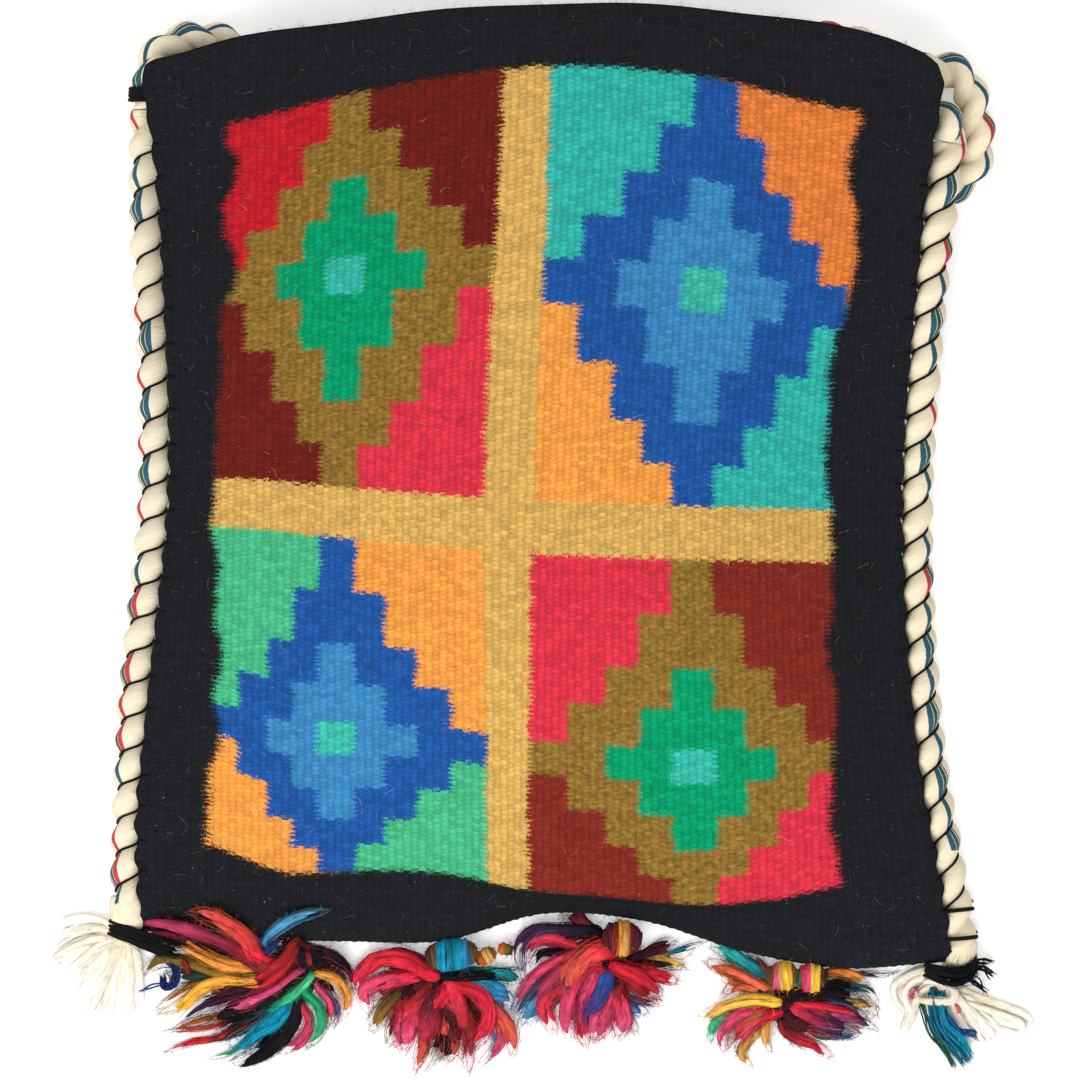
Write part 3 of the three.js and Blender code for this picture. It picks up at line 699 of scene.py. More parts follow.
def frontPoint(s, t):
    x, y = plan(s, t)
    outwards, rise = lip(s, t)
    return np.stack([x + outwards, y, frontHeight(s, t) + rise], axis=-1)


def backPoint(s, t):
    x, y = plan(s, t)
    outwards, rise = lip(s, t)
    y = y - bagShape["backMouthDrop"] * t * t
    return np.stack([x + outwards, y, backHeight(s, t) + bagShape["backLipShare"] * rise], axis=-1)


# The rope: one length from the left end, up the side, round as the strap and down the right side
rope = {
    "diameter": 13 * mm, "turn": 22.6 * mm, "plyRadius": 4.3 * mm, "plyOffset": 2.2 * mm, "plySides": 16,
    "step": 0.9 * mm, "gap": 0.4 * mm, "nestle": 1.7 * mm, "lead": 5 * mm, "level": 6.8 * mm, "uneven": 0.05,
    "leftSpan": (0.022, 0.946), "rightSpan": (0.016, 0.91), "strapStripes": -0.03,
    "leftCinch": 2.0 * mm, "rightCinch": 1.0 * mm, "cinchFade": 16 * mm, "lumpWaves": (391, 157),
}
strapRoute = [  # a loop at the left corner, folds under the bag, and a bight past the right corner
    (-0.1315, 0.1646), (-0.1238, 0.1704), (-0.113, 0.1712), (-0.1035, 0.1685), (-0.0962, 0.161),
    (-0.0945, 0.1527), (-0.0945, 0.106), (-0.0945, 0.0595), (-0.0865, 0.0401), (-0.0672, 0.0321),
    (-0.0478, 0.0401), (-0.0398, 0.0595), (-0.0398, 0.1224), (-0.0318, 0.1416), (-0.0126, 0.1496),
    (0.0067, 0.1416), (0.0146, 0.1224), (0.0146, 0.0595), (0.0222, 0.0412), (0.0405, 0.0337),
    (0.0587, 0.0412), (0.0663, 0.0595), (0.0663, 0.1224), (0.0705, 0.146), (0.084, 0.164),
    (0.0986, 0.1714), (0.1088, 0.1694), (0.1187, 0.164), (0.1262, 0.1608), (0.134, 0.1613),
    (0.1419, 0.1599), (0.1467, 0.1543), (0.1487, 0.145), (0.1498, 0.1355), (0.1478, 0.127),
    (0.1418, 0.1212), (0.132, 0.118), (0.121, 0.114), (0.1054, 0.1068), (0.0918, 0.1125),
    (0.086, 0.1261), (0.0918, 0.1397), (0.1054, 0.1455),
]
strapRise = [(0.121, 0.149, 0.0104), (0.132, 0.148, 0.0146)]


def leftRopeLine(t):
    outwards = (rope["diameter"] / 2 + rope["gap"] - rope["nestle"]) * (1 - ease(bagShape["leftRopeTuck"], t))
    x, y = along(bagShape["leftSeam"], t) - outwards, plan(np.zeros_like(t), t)[1]
    return np.stack([x, y, np.full_like(t, rope["diameter"] / 2)], axis=1)


def rightRopeLine(t):
    z = rope["diameter"] / 2 + bagShape["rightRopeRise"] * ease(bagShape["rightSeamLift"], t)
    y = plan(np.ones_like(t), t)[1]
    outwards = rope["diameter"] / 2 + rope["gap"] - rope["nestle"]
    return np.stack([along(bagShape["rightSeam"], t) + outwards, y, z], axis=1)


def straightOn(line):  # the strap leaves each side rope straight before it bends
    tangent = line[-1] - line[-2]
    tangent = tangent / np.linalg.norm(tangent)
    return [line[-1] + tangent * rope["gap"], line[-1] + tangent * rope["lead"]]


def ropeSection():  # two round plies pressed together, drawn as one outline
    widest = math.acos(-rope["plyOffset"] / rope["plyRadius"])
    angles = np.linspace(-widest, widest, rope["plySides"], endpoint=False)
    x, y = rope["plyOffset"] + rope["plyRadius"] * np.cos(angles), rope["plyRadius"] * np.sin(angles)
    ply = np.stack([x, y], axis=1)
    return np.vstack([ply, -ply])


def ropeFrames(line):
    tangents = np.gradient(line, axis=0)
    tangents /= np.linalg.norm(tangents, axis=1)[:, None]
    sideways = np.cross(tangents, [0, 0, 1.0])
    sideways /= np.linalg.norm(sideways, axis=1)[:, None]
    return sideways, np.cross(sideways, tangents)


def cinched(run, cosine, cinch):  # the stitching draws the plies of a sewn rope flatter across its front
    fade = np.clip(np.minimum(run - run[0], run[-1] - run) / rope["cinchFade"], 0, 1)
    return -cinch * fade.reshape(fade.shape + (1,) * (cosine.ndim - fade.ndim)) * cosine


def ropePiece(name, line, startRun, material, cinch=0.0):
    sideways, ups = ropeFrames(line)
    run = startRun + lengths(line)
    section = ropeSection()
    turned = -2 * np.pi * run / rope["turn"]
    shortWave, longWave = rope["lumpWaves"]
    lumps = 1 - rope["uneven"] * (0.5 + 0.5 * np.sin(run * shortWave) * np.sin(run * longWave + 1))
    x = (section[:, 0] * np.cos(turned)[:, None] - section[:, 1] * np.sin(turned)[:, None]) * lumps[:, None]
    y = (section[:, 0] * np.sin(turned)[:, None] + section[:, 1] * np.cos(turned)[:, None]) * lumps[:, None]
    points = line[:, None] + x[..., None] * sideways[:, None] + y[..., None] * ups[:, None]
    away = np.hypot(x, y)
    tangents = np.cross(ups, sideways)
    points = points + cinched(run, x / away, cinch)[..., None] * tangents[:, None]
    count, sides = x.shape
    faces = tubeFaces(np.arange(count * sides).reshape(count, sides))
    offset = 0.0 if cinch else rope["strapStripes"]  # where on the round the coloured yarns lie
    cosine, sine = math.cos(2 * np.pi * offset), math.sin(2 * np.pi * offset)
    spun = np.stack([(x * cosine - y * sine) / away, (x * sine + y * cosine) / away,
                     np.repeat(run[:, None] - offset * rope["turn"], sides, 1)], axis=2)
    laid = np.broadcast_to(section / mm, (count, sides, 2))  # the section turns with the plies, so do fibres
    fibre = np.concatenate([laid, np.repeat(run[:, None, None] / mm, sides, 1)], axis=2)
    return makePiece(name, points.reshape(-1, 3), faces, material,
                     {"ropeTurn": spun.reshape(-1, 3), "fibre": fibre.reshape(-1, 3)})


leftLine = evenly(leftRopeLine(np.linspace(*rope["leftSpan"], 80)), rope["step"])
rightLine = evenly(rightRopeLine(np.linspace(*rope["rightSpan"], 80)), rope["step"])
strapPoints = [*straightOn(leftLine), *((x, y, rope["level"]) for x, y in strapRoute), *strapRise,
               *straightOn(rightLine)[::-1]]
strapLine = evenly(curveThrough(strapPoints), rope["step"])
strapStart = lengths(leftLine)[-1] + rope["gap"]
strapLength = lengths(strapLine)[-1]
rightStart = strapStart + strapLength + rope["gap"]
lastStripe = float(rightStart + lengths(rightLine)[-1] - ropeStripes["plainEnd"])
# Three copies of one rope wool: cream on the right rope, a darker cream on the left rope as painted shade,
# and a lighter cream on the strap as painted light where the cloth shades it
ropeWool = ropeMaterial("rope_wool", rope["turn"], "cream", lastStripe)
leftShadedWool = ropeMaterial("left_rope_shaded_wool", rope["turn"], "shadedCream", lastStripe)
strapLitWool = ropeMaterial("strap_lit_wool", rope["turn"], "litCream", lastStripe)

strap = ropePiece("strap_rope", strapLine, strapStart, strapLitWool)
settle(strap, "rope_wool", "strap")
leftRope = ropePiece("left_rope", leftLine, 0.0, leftShadedWool, rope["leftCinch"])
settle(leftRope, "rope_wool", "left_side_rope")
rightRope = ropePiece("right_rope", rightLine[::-1], rightStart, ropeWool, rope["rightCinch"])
settle(rightRope, "rope_wool", "right_side_rope")
print("strap length", round(float(strapLength), 3))

# The cloth: places of the design's lines on the bag, in metres across and along it
clothLines = {
    "across": [(-0.1142, -0.1112, -0.1088), (-0.018, -0.0187, -0.0126), (-0.0044, -0.0017, 0.0037),
               (0.1037, 0.0986, 0.1095)],
    "upwards": [(-0.104, -0.1132, -0.1125, -0.1137, -0.1197, -0.1221, -0.1245, -0.1227, -0.1178),
                (0.0044, -0.0003, -0.0044, -0.0065, -0.0075), (0.0211, 0.017, 0.0136, 0.0116, 0.0102),
                (0.1401, 0.1523, 0.1601, 0.1574, 0.1455)],
    "acrossSpan": (0.08, 0.92), "upwardsSpan": (0.08, 0.89),
    "relief": 0.34 * mm, "saddle": 0.17 * mm, "reliefSpread": (0.6, 1.25),
    "ripple": 0.5 * mm, "rippleFade": 40,
    "backColumns": 52, "backRows": 60, "backCrowding": 1.3, "insideRows": 26,
    "seamInset": 0.024, "foldInset": 0.022, "thinnestHalfGap": 0.35 * mm,
    "plainPlace": -30,  # in warps and rows, off the design
}


def share(span, value):
    return (value - span[0]) / (span[1] - span[0])


def steady(marks, values, at):  # straight between marks, each mark with its own array of values
    made = np.array(values[0], float) * np.ones_like(at)
    for i in range(len(marks) - 1):
        part = (at - marks[i]) / (marks[i + 1] - marks[i])
        made = np.where(at >= marks[i], blend(values[i], values[i + 1], np.clip(part, 0, 1)), made)
    return made


def clothShares(warps, rows):  # the bag's shares of width and length at a place in the weave
    s, t = warps / design["warps"][-1], rows / design["rows"][-1]
    for _ in range(10):
        left, right = along(bagShape["leftSeam"], t), along(bagShape["rightSeam"], t)
        marks = [along(line, share(clothLines["acrossSpan"], t)) for line in clothLines["across"]]
        marks = [(mark - left) / (right - left) for mark in marks]
        s = steady(design["warps"], [np.zeros_like(s), *marks, np.ones_like(s)], warps)
        low, high = along(bagShape["fold"], s), along(bagShape["mouth"], s)
        marks = [along(line, share(clothLines["upwardsSpan"], s)) for line in clothLines["upwards"]]
        marks = [(mark - low) / (high - low) for mark in marks]
        t = steady(design["rows"], [np.zeros_like(t), *marks, np.ones_like(t)], rows)
    return s, t


def gridNormals(points):
    normals = np.cross(np.gradient(points, axis=1), np.gradient(points, axis=0))
    return normals / (np.linalg.norm(normals, axis=2)[..., None] + 1e-12)


def ripple(s, t):
    waves = np.sin(9 * s + 5 * t) * np.sin(7 * t - 3 * s) + 0.6 * np.sin(21 * s - 4 * t + 1)
    return clothLines["ripple"] * waves


def frontGrid():  # two points to a column and two to a bead, so that the beads stand up in the mesh
    lastWarp, lastRow = design["warps"][-1], design["rows"][-1]
    warps, rows = np.meshgrid(np.arange(2 * lastWarp + 1) / 2, np.arange(2 * lastRow + 1) / 2)
    s, t = clothShares(warps, rows)
    points = frontPoint(s, t)
    normals = gridNormals(points)
    column = np.floor(warps)
    onColumn = (warps - column) > 0.25
    onBead = ((rows - np.floor(rows)) > 0.25) == (column % 2 == 0)
    height = np.where(onColumn, np.where(onBead, clothLines["relief"], clothLines["saddle"]), 0.0)
    height = height * draw.uniform(*clothLines["reliefSpread"], height.shape)
    fromEnds, fromSeams = (np.minimum(w, 1 - w) * clothLines["rippleFade"] for w in (t, s))
    inside = np.minimum(1, fromEnds) * np.minimum(1, fromSeams)
    points = points + normals * (height - clothLines["relief"] / 2)[..., None]
    points[..., 2] += ripple(s, t) * inside
    return points, np.stack([warps, rows, np.zeros_like(rows)], axis=2), s, t


def insideGrid(side):
    s, t = np.meshgrid(np.linspace(0, 1, clothLines["backColumns"] + 1),
                       np.linspace(0, 1, clothLines["insideRows"] + 1))
    closed = (s == 0) | (s == 1) | (t == 0)
    s = clothLines["seamInset"] + s * (1 - 2 * clothLines["seamInset"])
    t = clothLines["foldInset"] + t * (1 - clothLines["foldInset"])
    front, back = frontPoint(s, t), backPoint(s, t)
    half = (front[..., 2] - back[..., 2]) / 2 - bagShape["thickness"]
    half = np.where(closed, 0, np.maximum(half, clothLines["thinnestHalfGap"]))
    y = np.where(closed, (front[..., 1] + back[..., 1]) / 2, front[..., 1] if side > 0 else back[..., 1])
    return np.stack([front[..., 0], y, (front[..., 2] + back[..., 2]) / 2 + side * half], axis=2)


def zipChains(first, second, firstAt, secondAt):  # triangles between two edges of unlike fineness
    faces, i, j = [], 0, 0
    while i < len(first) - 1 or j < len(second) - 1:
        if j == len(second) - 1 or (i < len(first) - 1 and firstAt[i + 1] <= secondAt[j + 1]):
            faces.append([first[i], first[i + 1], second[j]])
            i += 1
        else:
            faces.append([first[i], second[j + 1], second[j]])
            j += 1
    return [face for face in faces if len(set(face)) == 3]


def gridFaces(grid):
    corners = [grid[:-1, :-1], grid[:-1, 1:], grid[1:, 1:], grid[1:, :-1]]
    return np.stack(corners, axis=2).reshape(-1, 4).tolist()


def clothPiece(material):
    front, weave, frontS, frontT = frontGrid()
    columns = np.linspace(0, 1, clothLines["backColumns"] + 1)
    # The back's rows are closer together at the fold
    backT = np.linspace(0, 1, clothLines["backRows"] + 1)[1:] ** clothLines["backCrowding"]
    s, t = np.meshgrid(columns, backT)
    back = backPoint(s, t)
    backWeave = np.stack([s * design["warps"][-1], -t * design["rows"][-1], 0 * s], axis=2)
    roof, floor = insideGrid(1), insideGrid(-1)
    insideWeave = np.full_like(roof, clothLines["plainPlace"])
    sheets = [front, back, roof, floor]
    weaves = [weave, backWeave, insideWeave, insideWeave]
    starts = np.cumsum([0] + [sheet[..., 0].size for sheet in sheets])
    fr, ba, ro, fl = (np.arange(sheet[..., 0].size).reshape(sheet.shape[:2]) + start
                      for sheet, start in zip(sheets, starts))
    faces = gridFaces(fr) + gridFaces(ba[:, ::-1]) + gridFaces(ro[:, ::-1]) + gridFaces(fl)
    faces += zipChains(ba[0].tolist(), fr[0].tolist(), columns, frontS[0])
    faces += zipChains(fr[:, 0].tolist(), [fr[0, 0], *ba[:, 0].tolist()], frontT[:, 0], [0, *backT])
    faces += zipChains([fr[0, -1], *ba[:, -1].tolist()], fr[:, -1].tolist(), [0, *backT], frontT[:, -1])
    faces += zipChains(fr[-1].tolist(), ro[-1].tolist(), frontS[-1], columns)
    faces += zipChains(fl[-1].tolist(), ba[-1].tolist(), columns, columns)
    faces += [[ba[-1, 0], fr[-1, 0], ro[-1, 0]], [fr[-1, -1], ba[-1, -1], ro[-1, -1]]]
    points = np.vstack([sheet.reshape(-1, 3) for sheet in sheets])
    woven = np.vstack([sheetWeave.reshape(-1, 3) for sheetWeave in weaves])
    piece = makePiece("cloth_pouch", points, faces, material, {"weave": woven})
    shell = bmesh.new()
    shell.from_mesh(piece.data)
    bmesh.ops.remove_doubles(shell, verts=shell.verts, dist=1e-6)
    bmesh.ops.recalc_face_normals(shell, faces=shell.faces)
    shell.to_mesh(piece.data)
    shell.free()
    return piece


cloth = clothPiece(clothMaterial())
settle(cloth, "woven_cloth", "woven_body")

# Black thread whipped through the cloth's edge and round the rope in every groove
stitches = {"radius": 0.42 * mm, "lift": 0.55 * mm, "reachIn": 2.6 * mm, "wobble": 0.35 * mm,
            "entryDepth": 0.6 * mm, "rimIn": 0.2 * mm, "rimLift": 0.5 * mm,
            "fromAngle": 20, "toAngle": 178, "points": 12}
blackYarn = yarnMaterial("black_yarn", along=0.25, across=1.6, contrast=0.35, sheen=0.1, bumpDepth=0.1 * mm)


def stitchRow(pile, line, startRun, seamSide, cinch):
    sideways, ups = ropeFrames(line)
    run = startRun + lengths(line)
    groove = math.sqrt(rope["plyRadius"] ** 2 - rope["plyOffset"] ** 2) + stitches["lift"]
    angles = np.radians(np.linspace(stitches["fromAngle"], stitches["toAngle"], stitches["points"]))
    first = int(np.ceil(run[0] / rope["turn"] * 2)) + 1
    last = int(np.floor(run[-1] / rope["turn"] * 2)) - 1
    for n in range(first, last + 1):
        at = (np.pi / 2 - angles) / (2 * np.pi) * rope["turn"] + n * rope["turn"] / 2
        fade = np.clip(min(at.mean() - run[0], run[-1] - at.mean()) / rope["cinchFade"], 0, 1)
        at = at - cinch * fade * np.cos(angles)
        if at.min() < run[0] or at.max() > run[-1]:
            continue
        centre, side, up = (readAt(at, run, rows) for rows in (line, sideways, ups))
        path = roundLine(centre, side, up, angles, groove)
        t = np.clip(share((plan(seamSide, 0.0)[1], plan(seamSide, 1.0)[1]), path[0, 1]), 0.0, 1.0)
        inwards = 1 - 2 * seamSide
        s = abs(seamSide - stitches["reachIn"] / (plan(1.0, t)[0] - plan(0.0, t)[0]))
        wobble = np.array([0, draw.normal(0, stitches["wobble"]), 0])
        entry = frontPoint(s, t) * [1, 0, 1] + [0, path[0, 1], -stitches["entryDepth"]] + wobble
        onRim = [inwards * stitches["rimIn"], path[0, 1], stitches["rimLift"]]
        rim = frontPoint(seamSide, t) * [1, 0, 1] + onRim + wobble / 2
        pile.tube(curveThrough([entry, rim, *path], 3), stitches["radius"], wool["ink"], sides=6)


stitchPile = YarnPile()
stitchRow(stitchPile, leftLine, 0.0, 0.0, rope["leftCinch"])
stitchRow(stitchPile, rightLine[::-1], rightStart, 1.0, rope["rightCinch"])
settle(stitchPile.build("seam_stitches", blackYarn), "black_yarn")


# Loose wool: soft rovings laid along listed paths, each a flattened core in a coat of single hairs
loose = {
    "step": 1.8 * mm, "fineStep": 1 * mm, "flatness": 0.7, "rise": 2.3 * mm, "overFloor": 0.2 * mm,
    "hairsPerMm": 6, "hairRadius": 0.09 * mm, "hairPoints": 5, "hairTones": (0.62, 1.3),
    "fuzzPerMm": 30, "fuzzRadius": 0.05 * mm, "fuzzReach": (0.8 * mm, 3 * mm), "fuzzTones": (0.6, 1.4),
    "fuzzCurl": 0.9 * mm, "strayShare": 0.2, "runTones": (0.88, 1.12), "strandTones": (0.85, 1.2),
    "strandsPerMm": 0.6, "neckShare": 0.35,
}
tasselWool = yarnMaterial("tassel_wool", along=0.3, across=2.4, contrast=0.85, sheen=0.4, bumpDepth=0.35 * mm)
fringeWool = yarnMaterial("fringe_wool", along=0.5, across=1.3, contrast=0.3, sheen=0.1, bumpDepth=0.15 * mm)


def underneath(x, y):  # the height of what wool there lies on: the bag's front, or the floor
    s, t = np.full_like(x, 0.5), np.zeros_like(x)
    for _ in range(4):
        t = share((along(bagShape["fold"], s), along(bagShape["mouth"], s)), y)
        s = share((along(bagShape["leftSeam"], t), along(bagShape["rightSeam"], t)), x)
    onBag = (t > 0) & (s > 0) & (s < 1)
    return np.where(onBag, frontHeight(np.clip(s, 0, 1), np.clip(t, 0, 1)), 0.0)


def smoothed(values, reach):
    padded = np.pad(values, reach, mode="edge")
    return np.convolve(padded, np.ones(2 * reach + 1) / (2 * reach + 1), mode="valid")


def moved(places, x, y):
    return [(placeX + x, placeY + y) for placeX, placeY in places]


def jittered(places, across, up):  # hand-laid yarn keeps to its path only roughly
    return [(x + draw.normal(0, across), y + draw.normal(0, up)) for x, y in places]


def toned(colour, low, high):  # lighter or darker by chance
    tone = draw.uniform(low, high)
    return colour * np.array([tone, tone, tone, 1])


def fibreColour(colour, others, tones):  # now and then a fibre of another roving's colour
    if len(others) and draw.uniform() < loose["strayShare"]:
        colour = np.array(wool[others[draw.integers(len(others))]])
    return np.minimum(toned(colour, *tones), 1)


# A path over the bag and the floor, arched by its level in the pile
def layWool(places, level, width, step, climb=0.0):
    flat = np.array([(x, y, 0.0) for x, y in places]) * mm
    line = evenly(curveThrough(flat, 8), step)
    w = np.linspace(0, 1, len(line))
    ground = smoothed(underneath(line[:, 0], line[:, 1]), 4)
    arch = level * loose["rise"] * np.sin(np.pi * (0.3 + 0.62 * w))
    climbed = np.clip(lengths(line) / (climb + 1e-9), 0.1, 1)
    line[:, 2] = ground + width * loose["flatness"] / 2 + arch * climbed
    return line


def tintRun(first, second, points):
    w = np.clip(np.linspace(-0.3, 1.2, points) + draw.normal(0, 0.12), 0, 1)[:, None]
    return toned(blend(np.array(wool[first]), np.array(wool[second]), w), *loose["runTones"])


def addFuzz(pile, line, sideways, ups, body, colours, count, others=()):  # short fibres standing off the yarn
    for _ in range(count):
        i = draw.integers(1, len(line))
        angle = draw.uniform(-0.2, 1.2) * np.pi
        outwards = sideways[i] * math.cos(angle) + ups[i] * math.sin(angle) * loose["flatness"]
        onwards = (line[i] - line[i - 1]) / np.linalg.norm(line[i] - line[i - 1])
        grow = np.array([[0.0], [1.0]])
        reach = draw.uniform(*loose["fuzzReach"])
        path = line[i] + outwards * body[i] * 0.9
        path = path + grow * reach * (outwards * draw.uniform(0, 0.8) + onwards * draw.uniform(-0.5, 1))
        path = path + grow ** 2 * draw.normal(0, loose["fuzzCurl"], 3)
        path[:, 2] = np.maximum(path[:, 2], loose["overFloor"])
        colour = fibreColour(colours[i], others, loose["fuzzTones"])
        pile.tube(path, loose["fuzzRadius"], colour, sides=3)


# Long fibres along the yarn, loose at their ends
def addHairs(pile, line, sideways, ups, body, colours, count, flare, others):
    w = np.linspace(0, 1, len(line))
    grow = np.linspace(0, 1, loose["hairPoints"])
    for _ in range(count):
        start = draw.uniform(0, 0.72)
        at = np.linspace(start, min(1.0, start + draw.uniform(0.25, 0.7)), loose["hairPoints"])
        angle = draw.uniform(-0.25, 1.25) * np.pi + draw.normal(0, 0.7) * grow
        away = draw.uniform(0.88, 1.08) * (1 + abs(draw.normal(0, flare)) * grow ** 2)
        centre, side, up = (readAt(at, w, rows) for rows in (line, sideways, ups))
        path = roundLine(centre, side, up, angle, np.interp(at, w, body) * away, loose["flatness"])
        path += (line[-1] - line[-3]) * (grow ** 2 * draw.uniform(0, 0.9))[:, None]
        path[:, 2] = np.maximum(path[:, 2], loose["overFloor"])
        colour = fibreColour(colours[int(at[3] * (len(line) - 1))], others, loose["hairTones"])
        pile.tube(path, loose["hairRadius"] * blend(1, 0.55, grow), colour, sides=3)


def addRoving(pile, line, width, colours, hairs, flare=0.5, fuzz=0, others=(), strands=1, blunt=False):
    w = np.linspace(0, 1, len(line))
    uneven = 1 + 0.13 * np.sin(w * 7 + draw.uniform(0, 6)) + 0.07 * np.sin(w * 19 + draw.uniform(0, 6))
    lastPart, endLoss = (0.06, 0.8) if blunt else (0.28, 0.97)
    toEnd = np.clip((w - 1 + lastPart) / lastPart, 0, 1)
    ends = np.minimum(1, 0.7 + 2.5 * w) * np.sqrt(1 - endLoss * toEnd ** 2)
    body = width / 2 * uneven * ends
    sideways, ups = ropeFrames(line)
    for k in range(strands):  # a thick roving parts into strands of unlike length and tone
        if strands == 1:
            pile.tube(line, body, colours, sides=9, flatness=loose["flatness"])
            break
        angle = 2 * np.pi * (k + draw.uniform(-0.3, 0.3)) / strands + draw.normal(0, 0.9) * w
        away = width / 2 * draw.uniform(0.25, 0.52) * blend(0.8, 1.25, w)
        away = away * (1 + 0.3 * np.sin(w * 6 + draw.uniform(0, 6)))
        kept = max(4, int(draw.uniform(0.8, 1.0) * len(line)))
        path = roundLine(line, sideways, ups, angle, away, loose["flatness"])[:kept]
        tones = np.minimum(toned(colours[:kept], *loose["strandTones"]), 1)
        taper = np.interp(np.linspace(0, 1, kept), w, ends)
        thick = width * draw.uniform(0.22, 0.34) * uneven[:kept] * taper
        path[:, 2] = np.maximum(path[:, 2], thick)
        pile.tube(path, thick, tones, sides=6, flatness=0.85)
    addHairs(pile, line, sideways, ups, body, colours, hairs, flare, others)
    addFuzz(pile, line, sideways, ups, body, colours, fuzz, others)


